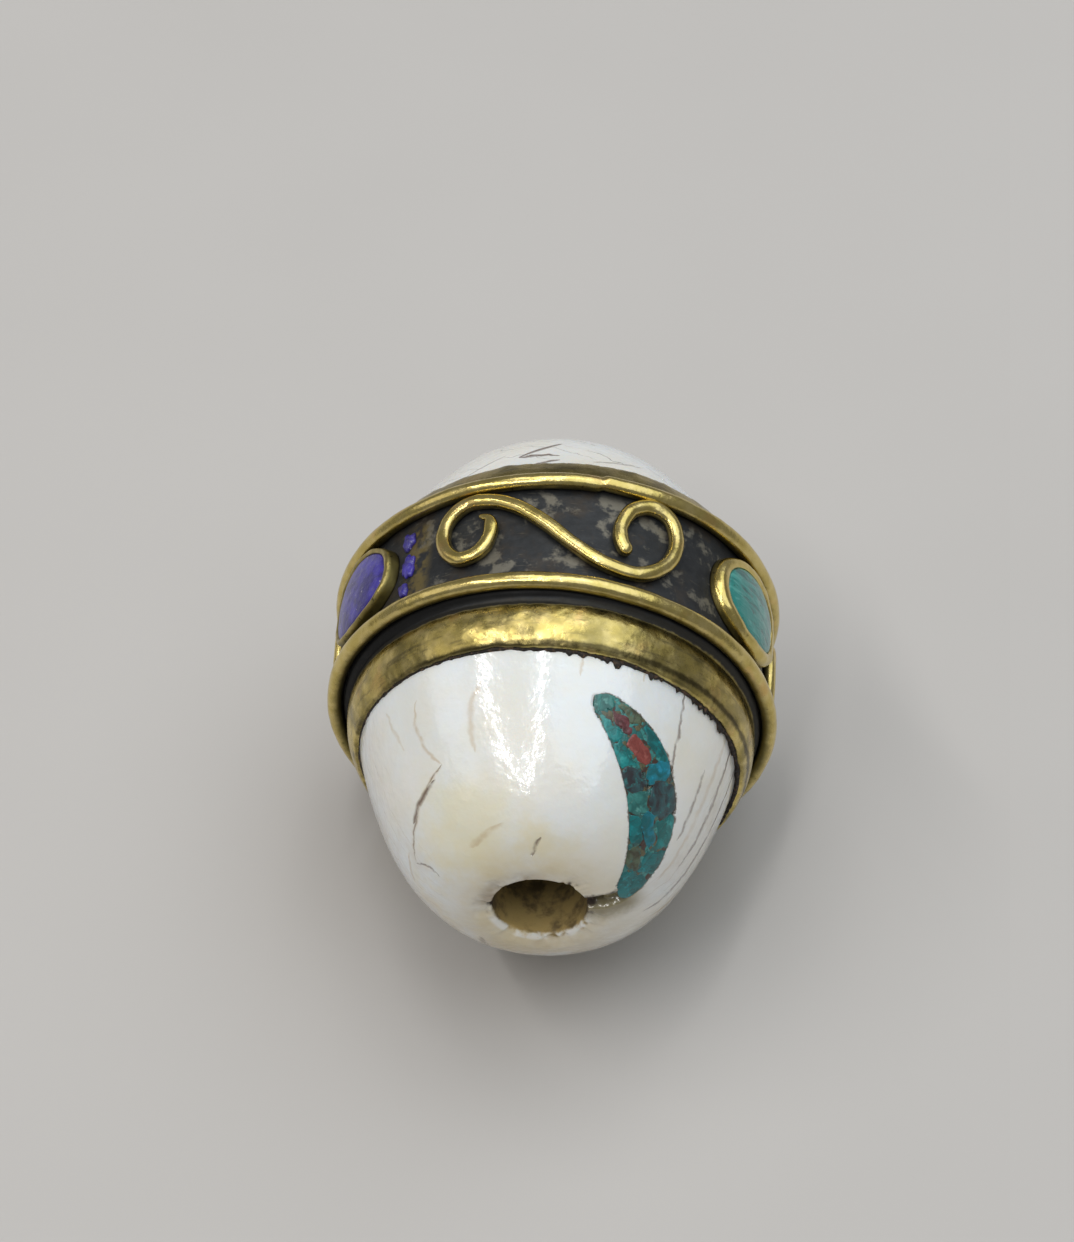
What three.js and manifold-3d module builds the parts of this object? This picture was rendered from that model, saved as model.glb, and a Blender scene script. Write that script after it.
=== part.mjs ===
// A large stringing bead in the Himalayan style. A white shell barrel is drilled lengthwise and wrapped in a
// brass band, which carries two border wires, three S-scrolls and three stones in oval bezels. A crescent of
// stone chips is let into one cap of the shell.
//
// Millimetres. The bore runs along Y with the long cap toward -Y, +Z is up, and the origin is on the bore's
// axis, halfway along the bead. An azimuth is an angle about the bore, from +Z toward +X.

import * as THREE from 'three';
import { mergeVertices } from 'three/addons/utils/BufferGeometryUtils.js';
import Module from 'manifold-3d';

const wasm = await Module();
wasm.setup();

// ---- driving dimensions -------------------------------------------------------------------------------

const clearance = 0.03; // left between pieces that touch
const ringSides = 40; // sides of everything that runs round the bore

const boreRadius = 2.37;
const landRadius = 3.2; // flat left round each mouth of the bore
const shellRadius = 10.97; // of the barrel's full outline, before the band's seat is cut in it
const shellTaper = 1.04; // exponents of the barrel's outline
const shellBluntness = 3.71;
const shellReach = { near: 15.41, far: 11.35 }; // from the band's middle to where the outline meets the axis
const seatRadius = 9.5;
const seatStart = -6.05;
const seatShoulder = 0.1; // length of the seat's slope down from the near cap
const capSteps = 9; // along each cap's outline
const slopeStep = 0.01; // to each side of a point, to find the outline's slope there

const sheetThickness = 0.35;
const groundRadius = 10.68; // outside of the band's sheet between the border wires
const borderWireRadius = 0.42;
const scrollWireRadius = 0.38;
const borderWirePlace = 3.22; // from the band's middle to each border wire
const wireSides = 8;
const bandSkew = 0.3; // the hand-cut band is this much wider to each side at +X, and narrower at -X

const pocketDepth = 1.2;
const chipDepth = 0.7;
const chipSteps = 2; // along each chip's edges
const mortar = 0.09; // half the binder between two chips

// ---- colours ------------------------------------------------------------------------------------------

const surface = (color, roughness, metalness = 0) =>
  new THREE.MeshStandardMaterial({ color, roughness, metalness });

const shellWhite = surface(0xf1eee6, 0.25);
const brass = surface(0x9c8243, 0.35, 1);
const agedBrass = surface(0x5c5440, 0.5, 1);
const pitch = surface(0x1d1916, 0.8);
const turquoise = surface(0x2f8f8a, 0.35);
const paleTurquoise = surface(0x6ba79b, 0.4);
const blueTurquoise = surface(0x1787a3, 0.35);
const deepTeal = surface(0x0d6a68, 0.35);
const slate = surface(0x4b5f66, 0.45);
const olive = surface(0x74774f, 0.5);
const coral = surface(0xa8433c, 0.4);
const darkRed = surface(0x77404a, 0.45);
const lapis = surface(0x3a3aa0, 0.3);

// ---- solids and frames --------------------------------------------------------------------------------

/** The same surface with shared vertices, no collapsed triangles, and its faces pointing out. */
function closed(geometry) {
  const bare = geometry.clone();
  bare.deleteAttribute('normal');
  bare.deleteAttribute('uv');
  const merged = mergeVertices(bare, 1e-4);
  const corner = Array.from(merged.index.array);
  const faces = [];
  let volume = 0;
  const [a, b, c] = [new THREE.Vector3(), new THREE.Vector3(), new THREE.Vector3()];
  for (let i = 0; i < corner.length; i += 3) {
    const [p, q, r] = corner.slice(i, i + 3);
    if (p === q || q === r || r === p) continue;
    a.fromBufferAttribute(merged.attributes.position, p);
    b.fromBufferAttribute(merged.attributes.position, q);
    c.fromBufferAttribute(merged.attributes.position, r);
    volume += a.dot(b.cross(c));
    faces.push([p, q, r]);
  }
  merged.setIndex((volume < 0 ? faces.map((face) => face.reverse()) : faces).flat());
  return merged;
}

function toSolid(geometry) {
  const shape = closed(geometry);
  const vertProperties = new Float32Array(shape.attributes.position.array);
  const triVerts = new Uint32Array(shape.index.array);
  return new wasm.Manifold(new wasm.Mesh({ numProp: 3, vertProperties, triVerts }));
}

function toGeometry(solid) {
  const { vertProperties, triVerts } = solid.getMesh();
  const geometry = new THREE.BufferGeometry();
  geometry.setAttribute('position', new THREE.BufferAttribute(new Float32Array(vertProperties), 3));
  geometry.setIndex(Array.from(triVerts));
  return geometry;
}

/** Moves every vertex of a geometry to place(x, y, z). */
function reshape(geometry, place) {
  const { position } = geometry.attributes;
  for (let i = 0; i < position.count; i++) {
    const { x, y, z } = place(position.getX(i), position.getY(i), position.getZ(i));
    position.setXYZ(i, x, y, z);
  }
  return geometry;
}

/** A solid of revolution about the bore, from an outline of [radius, y]. */
const turned = (outline) =>
  new THREE.LatheGeometry(outline.map(([radius, y]) => new THREE.Vector2(radius, y)), ringSides);

/** A point from its azimuth in radians, its place along the band and its distance from the bore's axis. */
const atAzimuth = (azimuth, y, radius) =>
  new THREE.Vector3(radius * Math.sin(azimuth), y, radius * Math.cos(azimuth));

/** How far along Y the band's skew moves a point: by all of bandSkew beyond the border wires. */
function skewAt(x, y, z) {
  const side = THREE.MathUtils.clamp(y / borderWirePlace, -1, 1);
  return bandSkew * side * (x / (Math.hypot(x, z) || 1));
}

const skewed = (geometry) => reshape(geometry, (x, y, z) => new THREE.Vector3(x, y + skewAt(x, y, z), z));

const bead = new THREE.Group();

function add(name, geometry, material) {
  const mesh = new THREE.Mesh(closed(geometry), material);
  mesh.name = name;
  bead.add(mesh);
}

// ---- the shell barrel's outline -----------------------------------------------------------------------

const reachOf = (y) => (y < 0 ? shellReach.near : shellReach.far);

function shellRadiusAt(y) {
  const along = Math.pow(Math.abs(y) / reachOf(y), shellTaper);
  return shellRadius * Math.pow(Math.max(0, 1 - along), 1 / shellBluntness);
}

/** How far from the band's middle the outline has shrunk to a radius. */
const shellPlaceOf = (radius, reach) =>
  reach * Math.pow(1 - Math.pow(radius / shellRadius, shellBluntness), 1 / shellTaper);

const nearEnd = -shellPlaceOf(landRadius, shellReach.near);
const farEnd = shellPlaceOf(landRadius, shellReach.far);

/** [radius, y] along one cap, closer together where it curves more, from y = start to its land. */
function capOutline(start, end, steps) {
  const outline = [];
  for (let i = 0; i <= steps; i++) {
    const y = start + (end - start) * Math.sin((i / steps) * (Math.PI / 2));
    outline.push([i === steps ? landRadius : shellRadiusAt(y), y]);
  }
  return outline;
}

// ---- crescent of stone chips in the near cap ----------------------------------------------------------

// The crescent is drawn in a plane that touches the cap, u round the bead and v toward the bore, between an
// inner and an outer arc that both run from its tip to its foot.
const crescentAzimuth = THREE.MathUtils.degToRad(41);
const crescentTilt = THREE.MathUtils.degToRad(53); // of the plane's normal from -Y
const crescentPlace = -11.6;
const outerArc = { centre: [-3.3, 3.1], radius: 6.45, tip: -94, foot: 21 };
const innerArc = { centre: [-15.4, 12.0], radius: 18.4, tip: -52, foot: -22 };
const crescentHeadroom = 2; // the cutting prisms start this far outside the cap
const crescentCut = 7;
const crescentSteps = 16; // along each arc

function arcPoint({ centre, radius, tip, foot }, along) {
  const angle = THREE.MathUtils.degToRad(tip + (foot - tip) * along);
  return new THREE.Vector2(centre[0] + radius * Math.cos(angle), centre[1] + radius * Math.sin(angle));
}

/** Carries the crescent's plane onto the cap, with the prisms' depth running inward. */
function crescentFrame() {
  const round = atAzimuth(crescentAzimuth + Math.PI / 2, 0, 1);
  const outward = atAzimuth(crescentAzimuth, 0, Math.sin(crescentTilt));
  outward.y = -Math.cos(crescentTilt);
  const towardBore = round.clone().cross(outward);
  const origin = atAzimuth(crescentAzimuth, crescentPlace, shellRadiusAt(crescentPlace));
  origin.addScaledVector(outward, crescentHeadroom);
  return new THREE.Matrix4().makeBasis(round, towardBore, outward.clone().negate()).setPosition(origin);
}

/** A prism through the cap over part of the crescent: along from tip to foot, across from inner to outer. */
function crescentPrism([alongFrom, alongTo], [acrossFrom, acrossTo], steps) {
  const edge = (across, from, to) =>
    Array.from({ length: steps + 1 }, (_, i) => {
      const along = from + ((to - from) * i) / steps;
      return arcPoint(innerArc, along).lerp(arcPoint(outerArc, along), across);
    });
  const outline = [...edge(acrossFrom, alongFrom, alongTo), ...edge(acrossTo, alongTo, alongFrom)];
  const extrusion = { depth: crescentCut, bevelEnabled: false };
  const prism = new THREE.ExtrudeGeometry(new THREE.Shape(outline), extrusion);
  return toSolid(prism.applyMatrix4(crescentFrame()));
}

/** The near cap's solid, with its surface lowered by a depth. */
function loweredCap(depth) {
  const outline = capOutline(seatStart, nearEnd, capSteps).map(([radius, y]) => {
    const slope = (shellRadiusAt(y + slopeStep) - shellRadiusAt(y - slopeStep)) / (2 * slopeStep);
    const length = Math.hypot(1, slope);
    return [radius - depth / length, y + (depth * slope) / length];
  });
  const [firstY, lastY] = [outline[0][1], outline.at(-1)[1]];
  return toSolid(turned([[0, firstY], ...outline, [0, lastY]]));
}

// Rows of chips from the tip to the foot: where each row ends, and each chip's share of the row from the
// inner edge with its stone.
const chipRows = [
  { end: 0.11, chips: [[1, paleTurquoise]] },
  { end: 0.24, chips: [[0.37, turquoise], [0.33, darkRed], [0.3, olive]] },
  { end: 0.37, chips: [[0.33, turquoise], [0.42, coral], [0.25, deepTeal]] },
  { end: 0.48, chips: [[0.4, slate], [0.6, blueTurquoise]] },
  { end: 0.6, chips: [[0.45, paleTurquoise], [0.55, slate]] },
  { end: 0.74, chips: [[0.25, deepTeal], [0.45, blueTurquoise], [0.3, turquoise]] },
  { end: 0.87, chips: [[0.4, olive], [0.6, deepTeal]] },
  { end: 1, chips: [[1, deepTeal]] },
];
const crescentLength = 10.5; // along its middle
const crescentWidth = 2; // typical, and used to turn gaps in millimetres into shares

function shrunk([from, to], gap, size) {
  return [from + gap / size, to - gap / size];
}

function addCrescent() {
  const cap = loweredCap(0);
  const whole = shrunk([0, 1], clearance, crescentLength);
  const across = shrunk([0, 1], clearance, crescentWidth);
  let binder = crescentPrism(whole, across, crescentSteps).intersect(loweredCap(clearance));
  binder = binder.subtract(loweredCap(pocketDepth - clearance));
  let start = 0;
  let number = 1;
  for (const { end, chips } of chipRows) {
    let left = 0;
    for (const [share, stone] of chips) {
      const [row, column] = [[start, end], [left, left + share]];
      const place = (gap) => {
        const [along, aside] = [shrunk(row, gap, crescentLength), shrunk(column, gap, crescentWidth)];
        return crescentPrism(along, aside, chipSteps);
      };
      const chip = place(mortar).intersect(cap).subtract(loweredCap(chipDepth));
      add(`crescent_chip_${number}`, toGeometry(chip), stone);
      binder = binder.subtract(place(mortar - clearance).subtract(loweredCap(chipDepth + clearance)));
      left += share;
      number += 1;
    }
    start = end;
  }
  add('crescent_binder', toGeometry(binder), pitch);
}

// ---- shell barrel, pitch and band sheet ---------------------------------------------------------------

const spillAzimuth = THREE.MathUtils.degToRad(75); // of the open groove from the crescent's foot to the bore
const spillWidth = 0.8;
const spillDepth = 0.45;
const spillReach = 4.0; // of its end from the bore's axis

function spillGroove() {
  const [from, to] = [boreRadius / 2, spillReach];
  const groove = new THREE.BoxGeometry(spillWidth, 2 * spillDepth, to - from);
  return toSolid(groove.translate(0, nearEnd, (from + to) / 2).rotateY(spillAzimuth));
}

/** The barrel's outline with the band's seat cut in it, from the near land to the far one. */
function barrelOutline(grow = 0) {
  const seatEnd = shellPlaceOf(seatRadius, shellReach.far);
  const nearCap = capOutline(seatStart, nearEnd, capSteps).reverse();
  const farCap = capOutline(seatEnd, farEnd, capSteps);
  const outline = [...nearCap, [seatRadius, seatStart + seatShoulder], ...farCap];
  return outline.map(([radius, y]) => [radius + grow, y]);
}

function addShell() {
  const bored = [[boreRadius, nearEnd], ...barrelOutline(), [boreRadius, farEnd], [boreRadius, nearEnd]];
  const pocket = crescentPrism([0, 1], [0, 1], crescentSteps).subtract(loweredCap(pocketDepth));
  const shell = toSolid(turned(bored)).subtract(pocket).subtract(spillGroove());
  add('shell_barrel', toGeometry(shell), shellWhite);
}

// The sheet's outer face from its near rim to its far rim. It stands up to the ground under each border wire,
// and each rim is burnished down onto the shell.
const sheetFace = [
  [9.9, -6.26],
  [10.16, -5.8],
  [10.36, -5.1],
  [10.42, -4.4],
  [10.42, -3.75],
  [groundRadius, -3.4],
  [groundRadius, 3.4],
  [10.42, 3.75],
  [10.38, 4.2],
  [10.14, 4.9],
  [9.75, 5.45],
];
const rimThickness = 0.24;
const squeezedOut = 0.16; // of the pitch, past the near rim

/** The sheet's face moved in by a depth, and by less at its two thinned rims. */
function sheetFaceAt(depth, rimDepth) {
  const last = sheetFace.length - 1;
  return sheetFace.map(([radius, y], i) => [radius - (i === 0 || i === last ? rimDepth : depth), y]);
}

function addBandSheet() {
  const inside = sheetFaceAt(sheetThickness, rimThickness).reverse();
  add('band_sheet', skewed(turned([...sheetFace, ...inside, sheetFace[0]])), agedBrass);
}

/** Pitch fills the space between the shell and the sheet, and shows as a dark line under the near rim. */
function addPitch() {
  const outside = sheetFaceAt(sheetThickness + clearance, rimThickness + clearance);
  const [rimRadius, rimPlace] = outside[0];
  const nearEdge = [[0, rimPlace - squeezedOut], [rimRadius, rimPlace - squeezedOut]];
  const filled = [...nearEdge, ...outside, [0, outside.at(-1)[1]]];
  const barrel = [[0, nearEnd], ...barrelOutline(clearance), [0, farEnd]];
  add('pitch_bed', toGeometry(toSolid(skewed(turned(filled))).subtract(toSolid(turned(barrel)))), pitch);
}

// ---- wires on the band --------------------------------------------------------------------------------

function addBorderWires() {
  const circle = groundRadius + clearance + borderWireRadius;
  for (const [name, side] of [['near_border_wire', -1], ['far_border_wire', 1]]) {
    const ring = new THREE.TorusGeometry(circle, borderWireRadius, wireSides, ringSides).rotateX(Math.PI / 2);
    add(name, skewed(ring.translate(0, side * borderWirePlace, 0)), brass);
  }
}

// One S-scroll's centreline, bent by hand, as [distance round the band, distance along the bore] from the
// scroll's middle, tip to tip.
const scrollLine = [
  [-4.0, 1.4], [-3.4, 1.0], [-3.3, 0.0], [-3.8, -1.0], [-4.8, -1.3], [-5.6, -0.6], [-5.9, 0.5], [-5.6, 1.6],
  [-4.6, 2.3], [-3.3, 2.2], [-2.1, 1.7], [-0.5, 0.5], [1.0, -0.8], [2.6, -1.7], [4.4, -1.8], [5.9, -0.6],
  [6.4, 0.9], [6.0, 2.1], [5.0, 2.5], [3.9, 2.0], [3.3, 0.8], [3.4, -0.2], [3.8, -0.8],
];

const scrollSteps = 44;

/** A round wire's section. */
function wireSection(radius) {
  const middle = new THREE.Vector2();
  const corners = Array.from({ length: wireSides }, (_, i) =>
    new THREE.Vector2(radius, 0).rotateAround(middle, (i * 2 * Math.PI) / wireSides));
  return new THREE.Shape(corners);
}

function addScroll(name, azimuth) {
  const radius = groundRadius + clearance + scrollWireRadius;
  const line = scrollLine.map(([round, along]) => {
    const point = atAzimuth(azimuth + round / radius, along, radius);
    return point.setY(along + skewAt(point.x, along, point.z));
  });
  const extrudePath = new THREE.CatmullRomCurve3(line, false, 'centripetal');
  const wire = new THREE.ExtrudeGeometry(wireSection(scrollWireRadius), { steps: scrollSteps, extrudePath });
  add(name, wire, brass);
}

// ---- bezels and stones --------------------------------------------------------------------------------

const ovalSides = 30;
const ovalSquareness = 2.2; // exponent of the oval, 2 being an ellipse

/**
 * Wraps a turned outline of [share of the oval's size, height above the ground] onto the band, round the
 * setting's middle.
 */
function setOnBand(outline, { azimuth, place, halfWidth, halfHeight }) {
  const section = outline.map(([share, height]) => new THREE.Vector2(share, height));
  const flat = new THREE.LatheGeometry(section, ovalSides);
  const squared = (value) => Math.sign(value) * Math.pow(Math.abs(value), 2 / ovalSquareness);
  return reshape(flat, (x, height, z) => {
    const share = Math.hypot(x, z) || 1;
    const round = halfWidth * share * squared(x / share);
    const along = place + halfHeight * share * squared(z / share);
    return atAzimuth(azimuth + round / groundRadius, along, groundRadius + clearance + height);
  });
}

const bezelHeight = 0.7;
const bezelShoulder = 0.35; // height to which its outer wall stands straight
const bezelLip = 0.64; // height of its inner edge
const bezelLean = 0.01; // of both walls, as a share of the oval
const bedLift = 0.02; // keeps the bed's flat facets off the round ground
const bedHeight = 0.3;
const crownHeight = 0.8; // of the stone's middle, level with the border wires

function addSetting(name, stone, setting) {
  const lip = setting.lip; // the bezel's inner edge, as a share of the oval
  const wall = (1 + lip) / 2;
  const gap = clearance / setting.halfHeight;
  const outerWall = [[1, 0], [1 - bezelLean, bezelShoulder], [wall, bezelHeight]];
  const bezel = [...outerWall, [lip, bezelLip], [lip - bezelLean, 0], [1, 0]];
  const bedEdge = lip - bezelLean - gap;
  const underside = [0, 0.4, 0.75].map((share) => [share * bedEdge, bedLift]);
  const bed = [...underside, [bedEdge, bedLift], [bedEdge, bedHeight], [0, bedHeight]];
  const girdle = bedEdge;
  const stoneFace = [[girdle, 0.6], [0.75 * girdle, 0.73], [0.4 * girdle, 0.785], [0, crownHeight]];
  const seat = bedHeight + clearance;
  add(`${name}_bezel`, setOnBand(bezel, setting), brass);
  add(`${name}_bed`, setOnBand(bed, setting), pitch);
  add(`${name}_stone`, setOnBand([[0, seat], [girdle, seat], ...stoneFace], setting), stone);
}

const inlaySpread = THREE.MathUtils.degToRad(64); // of the two upper settings from the top
const turquoiseSetting = { azimuth: inlaySpread, place: 0.3, halfWidth: 3.2, halfHeight: 2.5, lip: 0.77 };
const lapisSetting = { azimuth: -inlaySpread, place: 0.2, halfWidth: 3.1, halfHeight: 2.25, lip: 0.86 };
const coralSetting = { azimuth: Math.PI, place: 0, halfWidth: 3.1, halfHeight: 2.4, lip: 0.8 };

// Crumbs of lapis caught beside the lapis bezel: azimuth in degrees, place along the bore, half width and
// half height.
const lapisCrumbs = [
  [-43.6, 1.5, 0.3, 0.5],
  [-43.2, -0.1, 0.35, 0.6],
  [-44.6, -1.5, 0.3, 0.4],
];

const crumbOutline = [[0, 0], [1, 0], [0.7, 0.16], [0, 0.22]];

function addLapisCrumbs() {
  lapisCrumbs.forEach(([degrees, place, halfWidth, halfHeight], i) => {
    const spot = { azimuth: THREE.MathUtils.degToRad(degrees), place, halfWidth, halfHeight };
    add(`lapis_crumb_${i + 1}`, setOnBand(crumbOutline, spot), lapis);
  });
}

// ---- the bead -----------------------------------------------------------------------------------------

addShell();
addCrescent();
addPitch();
addBandSheet();
addBorderWires();

const lowerScroll = (inlaySpread + Math.PI) / 2; // midway between an upper setting and the lowest one
addScroll('top_scroll', 0);
addScroll('right_scroll', lowerScroll);
addScroll('left_scroll', -lowerScroll);

addSetting('turquoise', turquoise, turquoiseSetting);
addSetting('lapis', lapis, lapisSetting);
addSetting('coral', coral, coralSetting);
addLapisCrumbs();

bead.position.y = -(nearEnd + farEnd) / 2;

export default bead;
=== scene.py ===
"""Looks of a large stringing bead: a white shell barrel in a brass band with scrolls and stones.

Lengths in this script are millimetres, measured from the middle of the brass band, with the bore along Y.
An azimuth is an angle about the bore, from +Z toward +X. piece() turns them into the row's frame in metres.
"""

import math

import bpy
import numpy as np
from mathutils import Matrix, Vector, noise


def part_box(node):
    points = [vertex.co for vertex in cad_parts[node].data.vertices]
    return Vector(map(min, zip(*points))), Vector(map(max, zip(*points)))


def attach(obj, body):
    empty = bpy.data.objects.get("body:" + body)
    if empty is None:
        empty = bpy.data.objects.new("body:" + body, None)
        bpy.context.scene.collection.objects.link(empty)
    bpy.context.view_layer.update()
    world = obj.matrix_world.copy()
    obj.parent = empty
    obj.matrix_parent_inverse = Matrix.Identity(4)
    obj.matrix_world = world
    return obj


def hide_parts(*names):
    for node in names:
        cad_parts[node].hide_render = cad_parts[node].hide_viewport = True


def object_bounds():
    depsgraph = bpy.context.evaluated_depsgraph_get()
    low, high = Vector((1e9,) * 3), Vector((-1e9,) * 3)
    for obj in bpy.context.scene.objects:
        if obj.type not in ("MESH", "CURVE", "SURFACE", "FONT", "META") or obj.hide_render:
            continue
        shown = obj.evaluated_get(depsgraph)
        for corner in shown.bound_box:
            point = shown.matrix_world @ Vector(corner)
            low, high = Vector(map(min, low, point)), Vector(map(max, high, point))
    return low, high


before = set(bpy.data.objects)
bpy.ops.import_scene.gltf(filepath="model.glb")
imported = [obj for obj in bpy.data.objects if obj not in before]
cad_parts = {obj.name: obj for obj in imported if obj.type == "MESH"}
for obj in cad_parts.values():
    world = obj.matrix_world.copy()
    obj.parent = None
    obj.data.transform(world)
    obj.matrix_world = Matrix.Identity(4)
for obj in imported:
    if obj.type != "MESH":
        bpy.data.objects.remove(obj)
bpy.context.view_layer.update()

MM = 0.001
BODY = "root"

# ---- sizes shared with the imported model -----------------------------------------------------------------

BORE_RADIUS = 2.37
LAND_RADIUS = 3.2
SHELL_RADIUS = 10.97
SHELL_TAPER = 1.04
SHELL_BLUNTNESS = 3.71
NEAR_REACH = 15.41
FAR_REACH = 11.35
SEAT_RADIUS = 9.5
SEAT_START = -6.05
GROUND_RADIUS = 10.68
GAP = 0.03
WIRE_PLACE = 3.22
BAND_SKEW = 0.3


def band_middle():
    """Y of the band's middle, from the two border wires."""
    wires = ("near_border_wire", "far_border_wire")
    ends = [corner.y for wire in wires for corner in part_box(wire)]
    return sum(ends) / len(ends) / MM


MIDDLE = band_middle()


# ---- numbers --------------------------------------------------------------------------------------------


def smooth(value, low, high):
    """0 below low, 1 above high and a smooth step between them."""
    share = np.clip((np.asarray(value, float) - low) / (high - low), 0, 1)
    return share * share * (3 - 2 * share)


def noise_at(points, scale, seed=0):
    """Smooth noise from about -1 to 1 at each of an array of points."""
    shift = Vector((17.3, 5.1, 9.7)) * seed
    flat = np.asarray(points, float).reshape(-1, 3) * scale
    values = [noise.noise(Vector(point) + shift) for point in flat]
    return np.array(values).reshape(np.shape(points)[:-1])


def layered(points, *layers):
    """A sum of noises at some points, from [height, scale, seed] layers."""
    return sum(height * noise_at(points, scale, seed) for height, scale, seed in layers)


def resample(points, count):
    """Evenly spaced points along a polyline, its ends included."""
    points = np.asarray(points, float)
    at = np.r_[0, np.cumsum(np.linalg.norm(np.diff(points, axis=0), axis=1))]
    return np.stack([np.interp(np.linspace(0, at[-1], count), at, column) for column in points.T], axis=1)


def spline(points, count):
    """Evenly spaced points along a centripetal Catmull-Rom curve through the given points."""
    points = np.asarray(points, float)
    padded = np.vstack([2 * points[0] - points[1], points, 2 * points[-1] - points[-2]])
    curve = []
    for p0, p1, p2, p3 in zip(padded, padded[1:], padded[2:], padded[3:]):
        knots = np.cumsum(
            [0] + [max(np.linalg.norm(b - a), 1e-6) ** 0.5 for a, b in ((p0, p1), (p1, p2), (p2, p3))]
        )
        for t in np.linspace(knots[1], knots[2], 24, endpoint=False):
            def between(a, b, start, end):
                return a + (b - a) * (t - start) / (end - start)

            a1, a2, a3 = (
                between(p0, p1, *knots[0:2]), between(p1, p2, *knots[1:3]), between(p2, p3, *knots[2:4])
            )
            b1, b2 = between(a1, a2, knots[0], knots[2]), between(a2, a3, knots[1], knots[3])
            curve.append(between(b1, b2, knots[1], knots[2]))
    return resample(np.array(curve + [points[-1]]), count)


def wrap(azimuth, along, radius):
    """Points from their azimuths in radians, places along the band and distances from the bore's axis."""
    azimuth, along, radius = np.broadcast_arrays(azimuth, along, radius)
    return np.stack([radius * np.sin(azimuth), along, radius * np.cos(azimuth)], axis=-1)


def radius_of(points):
    return np.hypot(points[..., 0], points[..., 2])


def azimuth_of(points):
    return np.arctan2(points[..., 0], points[..., 2])


def skewed(points):
    """Widens the hand-cut band toward +X and narrows it toward -X."""
    side = np.clip(points[..., 1] / WIRE_PLACE, -1, 1)
    moved = points.copy()
    moved[..., 1] += BAND_SKEW * side * points[..., 0] / np.maximum(radius_of(points), 1e-6)
    return moved


def normalised(vectors):
    return vectors / np.maximum(np.linalg.norm(vectors, axis=-1, keepdims=True), 1e-9)


def outward(azimuth):
    return wrap(azimuth, 0.0, 1.0)


# ---- pieces ---------------------------------------------------------------------------------------------


def ring_faces(rings, sides, looped):
    """Quads between rings of vertices, with the last ring joined to the first if looped, and fans if not."""
    faces = []
    for ring in range(rings if looped else rings - 1):
        here, there = ring * sides, (ring + 1) % rings * sides
        for side in range(sides):
            right = (side + 1) % sides
            faces.append((here + side, here + right, there + right, there + side))
    if not looped:
        first, last, top = rings * sides, rings * sides + 1, (rings - 1) * sides
        for side in range(sides):
            right = (side + 1) % sides
            faces.append((first, right, side))
            faces.append((last, top + side, top + right))
    return faces


def piece(name, rings, material, slot, *nodes, looped=True, wraps=None):
    """A smooth closed mesh from an array of rings, standing for some CAD nodes."""
    count, sides, _ = rings.shape
    points = rings.reshape(-1, 3)
    if not looped:
        points = np.vstack([points, rings[0].mean(0), rings[-1].mean(0)])
    faces = ring_faces(count, sides, looped)
    middle = points.mean(0)
    volume = 0
    for face in faces[:: max(1, len(faces) // 4000)]:
        a, b, c = points[face[0]] - middle, points[face[1]] - middle, points[face[2]] - middle
        volume += np.dot(a, np.cross(b, c))
    if looped:
        corner = points[list(faces[0])]
        volume = np.dot(np.cross(corner[1] - corner[0], corner[2] - corner[1]), outward_hint(rings))
    if volume < 0:
        faces = [face[::-1] for face in faces]
    mesh = bpy.data.meshes.new(name)
    mesh.from_pydata(((points + (0, MIDDLE, 0)) * MM).tolist(), [], faces)
    mesh.shade_smooth()
    if wraps is not None:
        add_wraps(mesh, wraps)
    mesh.materials.append(material)
    shape = bpy.data.objects.new(name, mesh)
    bpy.context.scene.collection.objects.link(shape)
    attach(shape, BODY)
    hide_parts(*nodes)
    return shape


def outward_hint(rings):
    """The way out of a looped shape at its first face: away from the middle of its first cross-section."""
    return rings[:2, :2].mean((0, 1)) - rings[:, 0].mean(0)


def add_wraps(mesh, wraps):
    """A UV map of azimuth in radians and distance along the outline in millimetres, one pair per vertex."""
    layer = mesh.uv_layers.new(name="Wrap")
    vertex = np.empty(len(mesh.loops), int)
    mesh.loops.foreach_get("vertex_index", vertex)
    values = wraps[vertex]
    start = np.empty(len(mesh.polygons), int)
    total = np.empty(len(mesh.polygons), int)
    mesh.polygons.foreach_get("loop_start", start)
    mesh.polygons.foreach_get("loop_total", total)
    face = np.repeat(np.arange(len(start)), total)
    high = np.zeros(len(start))
    np.maximum.at(high, face, values[:, 0])
    seam = high[face] - values[:, 0] > math.pi
    values[seam, 0] += 2 * math.pi
    layer.data.foreach_set("uv", values.astype(np.float32).ravel())


# ---- the shell's outline --------------------------------------------------------------------------------


def shell_radius(along):
    along = np.asarray(along, float)
    reach = np.where(along < 0, NEAR_REACH, FAR_REACH)
    share = np.clip(1 - (np.abs(along) / reach) ** SHELL_TAPER, 0, None)
    return SHELL_RADIUS * share ** (1 / SHELL_BLUNTNESS)


def shell_place(radius, reach):
    return reach * (1 - (radius / SHELL_RADIUS) ** SHELL_BLUNTNESS) ** (1 / SHELL_TAPER)


NEAR_END = -shell_place(LAND_RADIUS, NEAR_REACH)
FAR_END = shell_place(LAND_RADIUS, FAR_REACH)
SEAT_END = shell_place(SEAT_RADIUS, FAR_REACH)


def cap_line(start, end, count):
    """Even points of [radius, along] down one cap to its land."""
    along = start + (end - start) * np.sin(np.linspace(0, math.pi / 2, 2000))
    radius = shell_radius(along)
    radius[-1] = LAND_RADIUS
    return resample(np.stack([radius, along], axis=1), count)


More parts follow.
